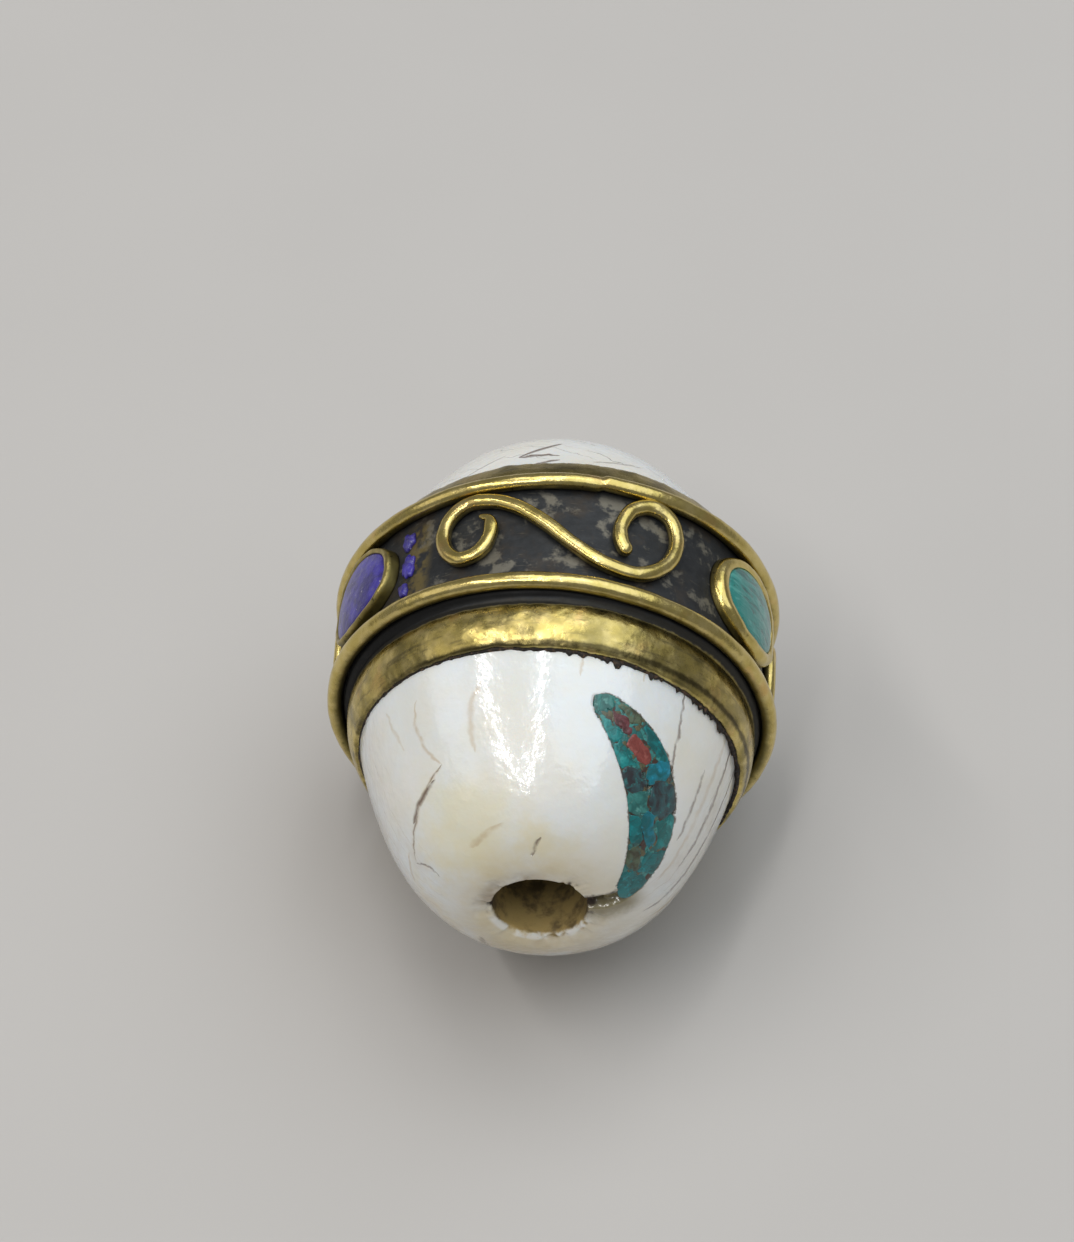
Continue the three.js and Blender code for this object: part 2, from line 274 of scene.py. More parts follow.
def shell_normal(points):
    """The way out of the shell's smooth outline, at points on it."""
    along = points[..., 1]
    step = 0.002
    slope = (shell_radius(along + step) - shell_radius(along - step)) / (2 * step)
    slope = np.where(along < NEAR_END + 2 * step, 1e3, slope)
    slope = np.where(along > FAR_END - 2 * step, -1e3, slope)
    normal = outward(azimuth_of(points))
    normal[..., 1] = -slope
    return normalised(normal)


def shell_relief(points):
    """How far hand grinding and polishing left the shell's skin off its smooth outline."""
    return layered(points, (0.06, 0.14, 1), (0.020, 0.42, 2), (0.010, 1.0, 3))


# ---- the crescent ---------------------------------------------------------------------------------------

CRESCENT_AZIMUTH = math.radians(41)
CRESCENT_TILT = math.radians(53)
CRESCENT_PLACE = -11.6
OUTER_ARC = ((-3.3, 3.1), 6.45, -94, 21)
INNER_ARC = ((-15.4, 12.0), 18.4, -52, -22)
HEADROOM = 2.0
POCKET_DEPTH = 0.5
ROUND_TIP = 0.07
ROUND_FOOT = 0.035


def crescent_axes():
    """The crescent's plane: its origin, the axis round the bead, the axis toward the bore, and its normal."""
    around = outward(CRESCENT_AZIMUTH + math.pi / 2)
    normal = math.sin(CRESCENT_TILT) * outward(CRESCENT_AZIMUTH)
    normal[1] = -math.cos(CRESCENT_TILT)
    origin = wrap(CRESCENT_AZIMUTH, CRESCENT_PLACE, shell_radius(CRESCENT_PLACE)) + HEADROOM * normal
    return origin, around, np.cross(around, normal), normal


AXES = crescent_axes()


def arc_point(arc, along):
    (across, down), radius, tip, foot = arc
    angle = np.radians(tip + (foot - tip) * along)
    return np.stack([across + radius * np.cos(angle), down + radius * np.sin(angle)], axis=-1)


def crescent_plane(along, across):
    """Points in the crescent's plane, from their shares along from its tip and across from its inner arc."""
    tip = np.clip(along / ROUND_TIP, 0, 1)
    foot = np.clip((1 - along) / ROUND_FOOT, 0, 1)
    width = np.sqrt(np.clip(1 - (1 - tip) ** 2, 0, 1)) * np.sqrt(np.clip(1 - (1 - foot) ** 2, 0, 1))
    across = (0.5 + (across - 0.5) * width)[..., None]
    return arc_point(INNER_ARC, along) * (1 - across) + arc_point(OUTER_ARC, along) * across


def onto_shell(plane, depth):
    """Carries points of the crescent's plane onto the shell's skin and sinks them by a depth."""
    origin, around, inward, normal = AXES
    start = origin + plane[..., :1] * around + plane[..., 1:] * inward
    low = np.zeros(start.shape[:-1])
    high = np.full(start.shape[:-1], 7.0)
    for _ in range(40):
        middle = (low + high) / 2
        points = start - middle[..., None] * normal
        outside = radius_of(points) > shell_radius(points[..., 1])
        low = np.where(outside, middle, low)
        high = np.where(outside, high, middle)
    points = start - low[..., None] * normal
    lift = shell_relief(points) - depth
    return points + lift[..., None] * shell_normal(points)


def crescent_edge(count):
    """The crescent's whole outline, as shares along and across."""
    along = np.r_[np.linspace(0, 1, count), np.ones(count), np.linspace(1, 0, count), np.zeros(count)]
    across = np.r_[np.zeros(count), np.linspace(0, 1, count), np.ones(count), np.linspace(1, 0, count)]
    return along, across


def depth_inside(points, outline):
    """How far inside a closed plane outline each point is, negative outside it."""
    ends = np.roll(outline, -1, axis=0)
    inside = np.zeros(len(points), bool)
    nearest = np.full(len(points), np.inf)
    for (ax, ay), (bx, by) in zip(outline, ends):
        length = (bx - ax) ** 2 + (by - ay) ** 2
        if length < 1e-12:
            continue
        crosses = (ay > points[:, 1]) != (by > points[:, 1])
        at = ax + (bx - ax) * (points[:, 1] - ay) / ((by - ay) or 1e-9)
        inside ^= crosses & (points[:, 0] < at)
        share = ((points[:, 0] - ax) * (bx - ax) + (points[:, 1] - ay) * (by - ay)) / length
        share = np.clip(share, 0, 1)
        gap = np.hypot(points[:, 0] - ax - share * (bx - ax), points[:, 1] - ay - share * (by - ay))
        nearest = np.minimum(nearest, gap)
    return np.where(inside, nearest, -nearest)


def pocket_depth(points):
    """Depth of the crescent's pocket at points of the shell's skin."""
    origin, around, inward, normal = AXES
    offset = points - origin
    plane = np.stack([offset @ around, offset @ inward], axis=-1)
    close = (np.hypot(plane[..., 0], plane[..., 1]) < 9) & (shell_normal(points) @ normal > 0.2)
    outline = crescent_plane(*crescent_edge(40))
    beside = np.full(points.shape[:-1], -1.0)
    beside[close] = depth_inside(plane[close], outline)
    depth = POCKET_DEPTH * smooth(beside, 0.04, 0.12)
    return depth, beside


# ---- the shell ------------------------------------------------------------------------------------------

SPILL_AZIMUTH = math.radians(75)
SPILL_WIDTH = 0.8
SPILL_DEPTH = 0.4
SPILL_REACH = 4.3


def spill_depth(points):
    """Depth of the ragged open groove that runs from the crescent's foot to the bore."""
    out = points @ outward(SPILL_AZIMUTH)
    aside = points @ outward(SPILL_AZIMUTH + math.pi / 2)
    ragged = layered(points, (0.14, 1.6, 5), (0.06, 4.0, 6))
    width = 1 - smooth(np.abs(aside) + ragged, SPILL_WIDTH * 0.32, SPILL_WIDTH * 0.66)
    length = smooth(out, 0.5, 1.5) * (1 - smooth(out + ragged, SPILL_REACH - 0.5, SPILL_REACH + 0.3))
    near = 1 - smooth(points[..., 1], NEAR_END + 1.0, NEAR_END + 1.8)
    return SPILL_DEPTH * width * length * near


def mouth_chips(points, azimuth, near_share):
    """Flakes broken out of the near mouth of the bore, as a depth."""
    flake = noise_at(wrap(azimuth, 0.0, 2.2), 1.0, 8) + 0.5 * noise_at(wrap(azimuth, 0.0, 2.2), 2.6, 9)
    ragged = 0.5 * noise_at(points, 3.5, 10)
    return near_share * (0.05 + 0.30 * np.clip(flake + ragged, 0, 1))


BORE_RINGS = 26
BORE_SKIN = 0.3  # share of the skin's unevenness that is left in the bore


def shell_outline():
    """[radius, along] once round the barrel's section, with how much of each point is skin and mouth."""
    near = cap_line(SEAT_START, NEAR_END, 150)
    far = cap_line(SEAT_END, FAR_END, 56)
    mouth = BORE_RADIUS + np.array([0.5, 0.34, 0.22, 0.13, 0.06, 0.02, 0.0, 0.0])
    drop = np.array([0.0, 0.0, 0.005, 0.02, 0.06, 0.14, 0.3, 0.6])
    near_mouth = np.stack([mouth, NEAR_END + drop], axis=1)
    far_mouth = np.stack([mouth, FAR_END - drop], axis=1)[::-1]
    depths = np.linspace(NEAR_END + 0.9, FAR_END - 0.9, BORE_RINGS)
    bore = np.stack([np.full(BORE_RINGS, BORE_RADIUS), depths], axis=1)
    seat = np.array([[SEAT_RADIUS, SEAT_START + 0.1], [SEAT_RADIUS, 0], [SEAT_RADIUS, SEAT_END - 0.1]])
    line = np.vstack([near, near_mouth, bore, far_mouth, far[::-1], seat[::-1]])
    fade = np.linspace(1, BORE_SKIN, len(mouth))
    skin = np.r_[np.ones(len(near)), fade, np.full(BORE_RINGS, BORE_SKIN)]
    skin = np.r_[skin, np.linspace(BORE_SKIN, 1, len(mouth)), np.ones(len(far)), np.zeros(len(seat))]
    chipped = np.zeros(len(line))
    chipped[len(near) - 4 : len(near) + 8] = [0.1, 0.2, 0.35, 0.5, 0.7, 0.9, 1, 1, 1, 0.8, 0.5, 0.2]
    return line, skin, chipped


def shell_columns():
    """Azimuths round the barrel, closest together across the crescent."""
    spacing = [(-180, -95, 36), (-95, 18, 110), (18, 92, 170), (92, 125, 34), (125, 180, 24)]
    return np.radians(np.concatenate([np.linspace(*part, endpoint=False) for part in spacing]))


def add_shell(material):
    line, skin, chipped = shell_outline()
    azimuth = shell_columns()
    points = wrap(azimuth[None, :], line[:, 1:], line[:, :1])
    lift = shell_relief(points) * skin[:, None]
    on_cap = (skin > 0.99) & (line[:, 1] < 0)
    pocket, beside = pocket_depth(points[on_cap])
    lift[on_cap] -= np.maximum(pocket, spill_depth(points[on_cap]))
    beside_all = np.full(lift.shape, -1.0)
    beside_all[on_cap] = beside
    moved = points + lift[..., None] * np.where(
        skin[:, None, None] > 0.99, shell_normal(points), outward(azimuth)[None]
    )
    moved[..., 1] += mouth_chips(points, azimuth[None, :], chipped[:, None])
    moved[..., 1] += spill_depth(points) * chipped[:, None]
    along = np.r_[0, np.cumsum(np.linalg.norm(np.diff(line, axis=0), axis=1))]
    wraps = np.stack(np.broadcast_arrays(azimuth[None, :], along[:, None]), axis=-1).reshape(-1, 2)
    shell = piece("shell", moved, material, "shell", "shell_barrel", wraps=wraps)
    beside_crescent = shell.data.attributes.new("beside_crescent", "FLOAT", "POINT")
    beside_crescent.data.foreach_set("value", np.clip(beside_all, -1, 1).astype(np.float32).ravel())


def arc_at(place):
    """Distance along the near cap's outline from the band to a place along the bead."""
    line = cap_line(SEAT_START, NEAR_END, 600)
    along = np.r_[0, np.cumsum(np.linalg.norm(np.diff(line, axis=0), axis=1))]
    return np.interp(-np.asarray(place, float), -line[:, 1], along)


# ---- chips of the crescent ------------------------------------------------------------------------------

# Where each row of chips ends, and each chip's share of the row from the inner edge with its stone.
CHIP_ROWS = (
    (0.11, ((1, "pale_turquoise"),)),
    (0.24, ((0.37, "turquoise"), (0.33, "dark_red"), (0.3, "olive"))),
    (0.37, ((0.33, "turquoise"), (0.42, "coral"), (0.25, "deep_teal"))),
    (0.48, ((0.4, "slate"), (0.6, "blue_turquoise"))),
    (0.6, ((0.45, "pale_turquoise"), (0.55, "slate"))),
    (0.74, ((0.25, "deep_teal"), (0.45, "blue_turquoise"), (0.3, "turquoise"))),
    (0.87, ((0.4, "olive"), (0.6, "deep_teal"))),
    (1.0, ((1, "deep_teal"),)),
)
CRESCENT_LENGTH = 10.5
CRESCENT_WIDTH = 2.0
MORTAR = 0.02  # half the joint between two chips
CORNERS = {"coral": 0.95, "slate": 0.8, "olive": 0.8, "dark_red": 0.8}  # 1 is an oval, 0.6 a squarish stone
PIT = (0.475, 0.42)  # of the open pit, as shares along and across
PIT_DEPTH = 0.28


def bent(along, across):
    """Bends the straight rows and columns into the uneven joints of broken stone."""
    where = np.stack([along * CRESCENT_LENGTH, across * CRESCENT_WIDTH, np.zeros_like(along)], axis=-1)
    inner = 4 * across * (1 - across)
    ends = smooth(along, 0, 0.08) * smooth(1 - along, 0, 0.08)
    push_along = layered(where, (0.045, 0.9, 11), (0.024, 2.3, 12), (0.010, 5, 15))
    push_across = layered(where, (0.20, 0.8, 13), (0.13, 2.2, 14), (0.05, 5, 16))
    return along + push_along * ends, across + push_across * inner


def rounded_square(count, corner):
    """Points round a square from -1 to 1, with its corners cut in."""
    angle = np.linspace(0, 2 * math.pi, count, endpoint=False)
    return np.stack([np.sign(f(angle)) * np.abs(f(angle)) ** corner for f in (np.cos, np.sin)], axis=1)


def crescent_rings(box, sides, steps, corner, sink, edge, seed):
    """Rings of a closed slab that follows the shell over one box of the crescent."""
    (along_from, along_to), (across_from, across_to) = box
    square = rounded_square(sides, corner)
    reach = np.r_[np.linspace(0.3, 1, 3), [1.0, 1.0], np.linspace(0.985, 0.05, steps)]
    depth = np.r_[
        np.full(3, POCKET_DEPTH - 0.05), [0.3, sink + edge],
        sink + edge * (1 - smooth(np.linspace(0, 1, steps), 0, 0.22)),
    ]
    shares = reach[:, None, None] * square[None]
    along = (along_from + along_to) / 2 + shares[..., 0] * (along_to - along_from) / 2
    across = (across_from + across_to) / 2 + shares[..., 1] * (across_to - across_from) / 2
    along, across = bent(along, across)
    along, across = np.clip(along, 0, 1), np.clip(across, 0, 1)
    points = onto_shell(crescent_plane(along, across), depth[:, None] + np.zeros(along.shape))
    top = np.r_[np.zeros(5), np.ones(steps)][:, None]
    pit = np.hypot((along - PIT[0]) * CRESCENT_LENGTH, (across - PIT[1]) * CRESCENT_WIDTH)
    lift = layered(points, (0.014, 1.7, seed), (0.006, 5, seed))
    return points + (
        top * (lift - PIT_DEPTH * (1 - smooth(pit, 0.06, 0.17)))
    )[..., None] * shell_normal(points)


def add_chips(stones):
    start, number = 0.0, 1
    for end, chips in CHIP_ROWS:
        left = 0.0
        for share, stone in chips:
            gap_along, gap_across = MORTAR / CRESCENT_LENGTH, MORTAR / CRESCENT_WIDTH
            box = ((start + gap_along, end - gap_along), (left + gap_across, left + share - gap_across))
            points = crescent_rings(box, 72, 14, CORNERS.get(stone, 0.62), -0.008, 0.022, 20 + number)
            piece(f"chip_{number}", points, stones[stone], stone, f"crescent_chip_{number}", looped=False)
            left += share
            number += 1
        start = end


def add_binder(material):
    """The resin and stone dust that fill the pocket under and between the chips."""
    whole = ((0.0, 1.0), (0.0, 1.0))
    points = crescent_rings(whole, 360, 34, 0.2, 0.008, 0.02, 50)
    piece("crescent_dust", points, material, "pitch", "crescent_binder", looped=False)


# ---- band -----------------------------------------------------------------------------------------------

NEAR_COLLAR = (
    (9.70, -6.36), (9.86, -6.36), (9.95, -6.27), (10.10, -6.0), (10.26, -5.6), (
        10.36, -5.15
    ), (10.40, -4.7),
    (10.39, -4.35), (10.36, -4.1), (10.33, -3.9), (10.42, -3.72), (10.62, -3.5), (10.68, -3.2),
)
FAR_COLLAR = (
    (10.68, 3.2), (10.64, 3.45), (10.46, 3.7), (10.36, 3.95), (10.38, 4.2), (10.26, 4.6), (10.05, 5.05),
    (9.82, 5.42), (9.72, 5.5), (9.6, 5.48),
)
BAND_COLUMNS = 420


def band_azimuths(count=BAND_COLUMNS):
    return np.linspace(-math.pi, math.pi, count, endpoint=False)


def band_outline():
    """[radius, along] round the sheet's section: its outer face, then its inside back to the near rim."""
    near, far = spline(NEAR_COLLAR, 64), spline(FAR_COLLAR, 44)
    ground = np.stack([np.full(26, GROUND_RADIUS), np.linspace(-3.1, 3.1, 26)], axis=1)
    inside = resample(
        [(9.5, 5.42), (9.98, 4.3), (10.3, 3.3), (10.32, -3.3), (10.02, -4.4), (9.85, -5.4), (9.64, -6.3)],
        24,
    )
    return np.vstack([near, ground, far, inside])


def add_band(material):
    line = band_outline()
    azimuth = band_azimuths()
    points = wrap(azimuth[None, :], line[:, 1:], line[:, :1])
    near_rim = 1 - smooth(points[..., 1], -6.3, -5.5)
    far_rim = smooth(points[..., 1], 4.7, 5.5)
    ring = wrap(azimuth, 0.0, 10.0)
    ragged = layered(ring, (0.10, 0.35, 30), (0.05, 1.4, 31), (0.035, 4.0, 32))
    points[..., 1] += (near_rim + far_rim) * ragged
    outer = line[:, 0] > 9.6
    hammered = layered(points, (0.045, 0.3, 33), (0.02, 0.9, 34), (0.006, 2.6, 35))
    points = points + (hammered * outer[:, None])[..., None] * outward(azimuth)[None]
    piece("band", skewed(points), material, "aged_brass", "band_sheet")


def add_pitch(material):
    """Pitch between the shell and the sheet. Its near edge is squeezed out in teeth under the rim."""
    azimuth = band_azimuths(720)
    ring = wrap(azimuth, 0.0, 10.0)
    right = smooth(np.sin(azimuth), -0.2, 0.5)
    teeth = np.clip(noise_at(ring, 2.6, 36) + 0.5 * noise_at(ring, 6.0, 37), 0, 1)
    squeezed = 0.04 + 0.05 * noise_at(ring, 0.8, 38) + (0.10 + 0.34 * right) * teeth
    outer = resample(
        [(9.56, -6.36), (9.66, -6.36), (9.72, -6.3), (9.7, -6.0), (9.8, -5.4), (9.95, -4.4), (10.25, -3.3)],
        30,
    )
    outer = np.vstack(
        [outer, resample([(10.27, -3.2), (10.27, 3.2), (9.92, 4.3), (9.62, 5.36), (9.42, 5.56)], 20)]
    )
    inner = resample([(9.15, 5.56), (9.3, 5.2), (9.53, 4.7), (9.53, -5.9), (9.56, -6.1), (9.45, -6.25)], 14)
    line = np.vstack([outer, inner])
    points = wrap(azimuth[None, :], line[:, 1:], line[:, :1])
    edge = 1 - smooth(line[:, 1:], -6.36, -6.1)
    points[..., 1] -= edge * squeezed[None, :]
    reach = np.minimum(points[..., 1], -6.2)
    follow = edge * (shell_radius(reach) - shell_radius(-6.36))
    points = points + follow[..., None] * outward(azimuth)[None]
    piece("pitch_line", skewed(points), material, "pitch", "pitch_bed")


def add_border_wire(name, side, material, thickness, splice=None):
    azimuth = band_azimuths(480)
    ring = wrap(azimuth, 0.0, 10.0)
    radius = thickness / 2 * (
        1 + 0.05 * noise_at(ring, 0.5, 40 + side) + 0.03 * noise_at(ring, 1.6, 42 + side)
    )
    circle = GROUND_RADIUS + thickness / 2 - 0.01 + 0.02 * noise_at(ring, 0.3, 44 + side)
    along = side * WIRE_PLACE + 0.05 * noise_at(
        ring, 0.22, 46 + side
    ) + 0.02 * noise_at(ring, 0.9, 48 + side)
    if splice is not None:
        off = azimuth - splice
        circle += 0.06 * np.tanh(off / 0.008) * np.exp(-np.abs(off) / 0.12)
        along += 0.03 * np.tanh(off / 0.008) * np.exp(-np.abs(off) / 0.1)
        radius *= 1 - 0.16 * np.exp(-((off / 0.012) ** 2))
    angle = np.linspace(0, 2 * math.pi, 20, endpoint=False)
    flat = 1 - 0.06 * smooth(np.cos(angle), 0.6, 1.0)
    out = circle[None, :] + radius[None, :] * (flat * np.cos(angle))[:, None]
    rings = wrap(azimuth[None, :], along[None, :] + radius[None, :] * np.sin(angle)[:, None], out)
    rings = rings + (0.008 * noise_at(rings, 2.0, 50))[..., None] * outward(azimuth)[None]
    piece(name, skewed(rings), material, "brass", name.replace("rim", "border"))


# A scroll's centreline as [distance round the band, distance along the bore], tip to tip. These points were
# measured on the bead, thinned and rounded to 0.1 mm.
SCROLL_LINE = (
    (-4.0, 1.4), (-3.4, 1.0), (-3.3, 0.0), (
        -3.8, -1.0
    ), (-4.8, -1.3), (-5.6, -0.6), (-5.9, 0.5), (-5.6, 1.6),
    (-4.6, 2.3), (-3.3, 2.2), (-2.1, 1.7), (-0.5, 0.5), (1.0, -0.8), (2.6, -1.7), (4.4, -1.8), (5.9, -0.6),
    (6.4, 0.9), (6.0, 2.1), (5.0, 2.5), (3.9, 2.0), (3.3, 0.8), (3.4, -0.2), (3.8, -0.8),
)
SCROLL_RADIUS = 0.39


def add_scroll(name, azimuth, material, seed):
    """A wire bent by hand into an S, laid on the band, with its first tip drawn to a point."""
    circle = GROUND_RADIUS + SCROLL_RADIUS - 0.02
    bend = spline(SCROLL_LINE, 320)
    length = np.r_[0, np.cumsum(np.linalg.norm(np.diff(bend, axis=0), axis=1))]
    whole = length[-1]
    middle = wrap(azimuth + bend[:, 0] / circle, bend[:, 1], circle)
    up = outward(azimuth_of(middle))
    tangent = normalised(np.gradient(middle, axis=0))
    side = normalised(np.cross(tangent, up))
    radius = SCROLL_RADIUS * (
        1 + 0.07 * noise_at(middle, 0.7, seed) + 0.03 * noise_at(middle, 2.2, seed + 1)
    )
    radius *= 0.35 + 0.65 * smooth(length, 0, 1.3)
    for reach in (length, whole - length):
        left = np.clip(1 - reach / SCROLL_RADIUS, 0, 0.995)
        radius *= np.sqrt(1 - left**2)
    angle = np.linspace(0, 2 * math.pi, 18, endpoint=False)
    flat = 1 - 0.10 * smooth(np.cos(angle), 0.55, 1.0)
    lift = (flat * np.cos(angle))[None, :, None] * up[:, None]
    spread = np.sin(angle)[None, :, None] * side[:, None]
    rings = middle[:, None] + radius[:, None, None] * (lift + spread)
    rings = rings + (0.010 * noise_at(rings, 1.8, seed + 2))[..., None] * up[:, None]
    rings = rings + solder_swell(rings, azimuth, circle)[..., None] * up[:, None]
    piece(name + "_wire", skewed(rings), material, "brass", name, looped=False)


SOLDER_SPOT = (3.55, 1.75)


def solder_swell(rings, azimuth, circle):
    """A blob of solder where the second loop closes on itself."""
    spot = wrap(azimuth + SOLDER_SPOT[0] / circle, SOLDER_SPOT[1], circle)
    return 0.10 * np.exp(-((np.linalg.norm(rings - spot, axis=-1) / 0.45) ** 2))


# ---- settings -------------------------------------------------------------------------------------------

OVAL_SQUARENESS = 2.2
SPREAD = math.radians(64)
SETTINGS = {
    "turquoise": {"azimuth": SPREAD, "place": 0.3, "half": (3.2, 2.5), "lip": 0.77, "seed": 60},
    "lapis": {"azimuth": -SPREAD, "place": 0.2, "half": (3.1, 2.25), "lip": 0.86, "seed": 70},
    "coral": {"azimuth": math.pi, "place": 0.0, "half": (3.1, 2.4), "lip": 0.80, "seed": 80},
}


def on_band(outline, setting, sides, wobble=0.0):
    """Rings of [share of the oval, height above the ground] wrapped onto the band."""
    angle = np.linspace(0, 2 * math.pi, sides, endpoint=False)
    power = 2 / OVAL_SQUARENESS
    oval = np.stack([np.sign(f(angle)) * np.abs(f(angle)) ** power for f in (np.sin, np.cos)], axis=1)
    oval = oval * (1 + wobble * noise_at(wrap(angle, 0.0, 1.6), 1.0, setting["seed"]))[:, None]
    outline = np.asarray(outline, float)
    around = setting["half"][0] * outline[:, :1] * oval[None, :, 0]
    along = setting["place"] + setting["half"][1] * outline[:, :1] * oval[None, :, 1]
    radius = GROUND_RADIUS + GAP + outline[:, 1:] + np.zeros(around.shape)
    return wrap(setting["azimuth"] + around / GROUND_RADIUS, along, radius)


def add_setting(name, bezel_material, stone_material):
    setting = SETTINGS[name]
    lip = setting["lip"]
    wall = (1 + lip) / 2
    outer = [
        (1.01, -0.05), (1.0, 0.12), (0.985, 0.36), ((1 + wall) / 2, 0.58), (wall, 0.70), (lip + 0.02, 0.685)
    ]
    inner = [(lip - 0.005, 0.62), (lip - 0.01, 0.5), (lip - 0.01, 0.02)]
    line = np.vstack([spline(outer, 18), spline(inner, 8), resample([(wall, -0.03), (0.98, -0.05)], 3)])
    rings = on_band(line, setting, 150, 0.02)
    worked = layered(rings, (0.05, 0.9, setting["seed"] + 1), (0.02, 2.4, setting["seed"] + 2))
    top = smooth(line[:, 1], 0.1, 0.6)[:, None]
    rings = rings + (worked * top)[..., None] * outward(azimuth_of(rings))
    piece(name + "_mount", rings, bezel_material, "brass", name + "_bezel")
    girdle = lip - 0.012
    face = [
        (girdle, 0.58), (0.94 * girdle, 0.655), (0.75 * girdle, 0.73), (0.4 * girdle, 0.79), (0.03, 0.81)
    ]
    line = np.vstack(
        [resample([(0.3 * girdle, 0.34), (girdle, 0.34), (girdle, 0.56)], 8), spline(face, 26)]
    )
    rings = on_band(line, setting, 120, 0.02)
    ground = layered(rings, (0.022, 0.7, setting["seed"] + 3), (0.010, 2.6, setting["seed"] + 4))
    top = smooth(line[:, 1], 0.4, 0.6)[:, None]
    rings = rings + (ground * top)[..., None] * outward(azimuth_of(rings))
    piece(name + "_inlay", rings, stone_material, name, name + "_stone", looped=False)


# Crumbs beside the lapis: azimuth in degrees, place along the bore, half width and half height.
CRUMBS = ((-43.6, 1.5, 0.34, 0.55), (-43.2, -0.1, 0.4, 0.65), (-44.6, -1.5, 0.32, 0.42))


def add_crumbs(material):
    line = spline([(0.5, 0.0), (1, -0.02), (1.0, 0.08), (0.7, 0.2), (0.35, 0.24), (0.05, 0.23)], 18)
    for number, (azimuth, place, half_width, half_height) in enumerate(CRUMBS, 1):
        spot = {
            "azimuth": math.radians(azimuth), "place": place, "half": (half_width, half_height),
            "seed": 90 + number,
        }
        rings = on_band(line, spot, 60, 0.45)
        lump = 0.09 * noise_at(rings, 3.0, 95 + number) * smooth(line[:, 1], 0.02, 0.15)[:, None]
        rings = rings + lump[..., None] * outward(azimuth_of(rings))
        piece(f"lapis_speck_{number}", rings, material, "lapis", f"lapis_crumb_{number}", looped=False)


# ---- material building ----------------------------------------------------------------------------------


class Look:
    """One material's node tree. Each method adds a node and returns its output socket."""

    def __init__(self, name, **values):
        self.material = bpy.data.materials.new(name)
        self.material.use_nodes = True
        self.tree = self.material.node_tree
        self.shader = self.tree.nodes["Principled BSDF"]
        self.set(**values)
        here = self.node("ShaderNodeTexCoord", output="Object")
        shifted = self.node("ShaderNodeVectorMath", "ADD", {0: here, 1: (0, -MIDDLE * MM, 0)})
        self.point = self.node("ShaderNodeVectorMath", "SCALE", {0: shifted, "Scale": 1 / MM})
        split = self.node("ShaderNodeSeparateXYZ", None, {0: self.point}, output=None)
        self.x, self.y, self.z = split.outputs
        square = self.math("MULTIPLY_ADD", self.x, self.x, self.math("MULTIPLY", self.z, self.z))
        self.radius = self.math("SQRT", square)
        self.azimuth = self.math("ARCTAN2", self.x, self.z)

    def feed(self, socket, value):
        if isinstance(value, bpy.types.NodeSocket):
            self.tree.links.new(value, socket)
        elif socket.type == "RGBA" and len(value) == 3:
            socket.default_value = (*value, 1)
        else:
            socket.default_value = value

    def set(self, **values):
        """Shader inputs, by name with spaces written as underscores."""
        for name, value in values.items():
            self.feed(self.shader.inputs[name.replace("_", " ")], value)

    def node(self, kind, operation=None, inputs=None, output=0, **settings):
        node = self.tree.nodes.new(kind)
        if operation:
            node.operation = operation
        for name, value in settings.items():
            setattr(node, name, value)
        for key, value in (inputs or {}).items():
            self.feed(node.inputs[key], value)
        return node if output is None else node.outputs[output]

    def math(self, operation, *values):
        return self.node("ShaderNodeMath", operation, dict(enumerate(values)))

    def noise(self, scale, detail=3.0, rough=0.5, distortion=0.0, shift=0.0, vector=None):
        moved = self.node(
            "ShaderNodeVectorMath", "ADD", {0: vector or self.point, 1: (shift, shift, shift)}
        )
        inputs = {
            "Vector": moved, "Scale": scale, "Detail": detail, "Roughness": rough, "Distortion": distortion
        }
        return self.node("ShaderNodeTexNoise", None, inputs)

    def voronoi(self, scale, feature="F1", output="Distance", vector=None):
        inputs = {"Vector": vector or self.point, "Scale": scale, "Randomness": 1.0}
        return self.node("ShaderNodeTexVoronoi", None, inputs, output, feature=feature)

    def step(self, value, low, high, start=0.0, end=1.0):
        """start below low, end above high, and a smooth step between."""
        inputs = {"Value": value, "From Min": low, "From Max": high, "To Min": start, "To Max": end}
        return self.node("ShaderNodeMapRange", None, inputs, interpolation_type="SMOOTHSTEP")

    def mix(self, share, first, second):
        inputs = {0: share, 6: first, 7: second}
        return self.node("ShaderNodeMix", None, inputs, 2, data_type="RGBA")

    def waver(self, amount, *scale, **more):
        """Noise about zero, as wide as the amount."""
        return self.math("MULTIPLY_ADD", self.noise(*scale, **more), amount, -amount / 2)

    def patches(self, low, high, *scale, **more):
        """Soft-edged patches: noise stepped from low to high."""
        return self.step(self.noise(*scale, **more), low, high)

    def tint(self, color, tint, *masks):
        """The colour, tinted where all the masks are."""
        return self.mix(self.both(*masks), color, tint)

    def both(self, *masks):
        result = masks[0]
        for mask in masks[1:]:
            result = self.math("MULTIPLY", result, mask)
        return result

    def bump(self, *layers):
        """Bump from [height, depth in millimetres] layers, laid one over another."""
        normal = None
        for height, depth in layers:
            inputs = {"Height": height, "Distance": depth * MM, "Strength": 1.0}
            if normal is not None:
                inputs["Normal"] = normal
            normal = self.node("ShaderNodeBump", None, inputs)
        self.set(Normal=normal, Coat_Normal=normal)


# ---- cracks and growth lines of the shell ---------------------------------------------------------------

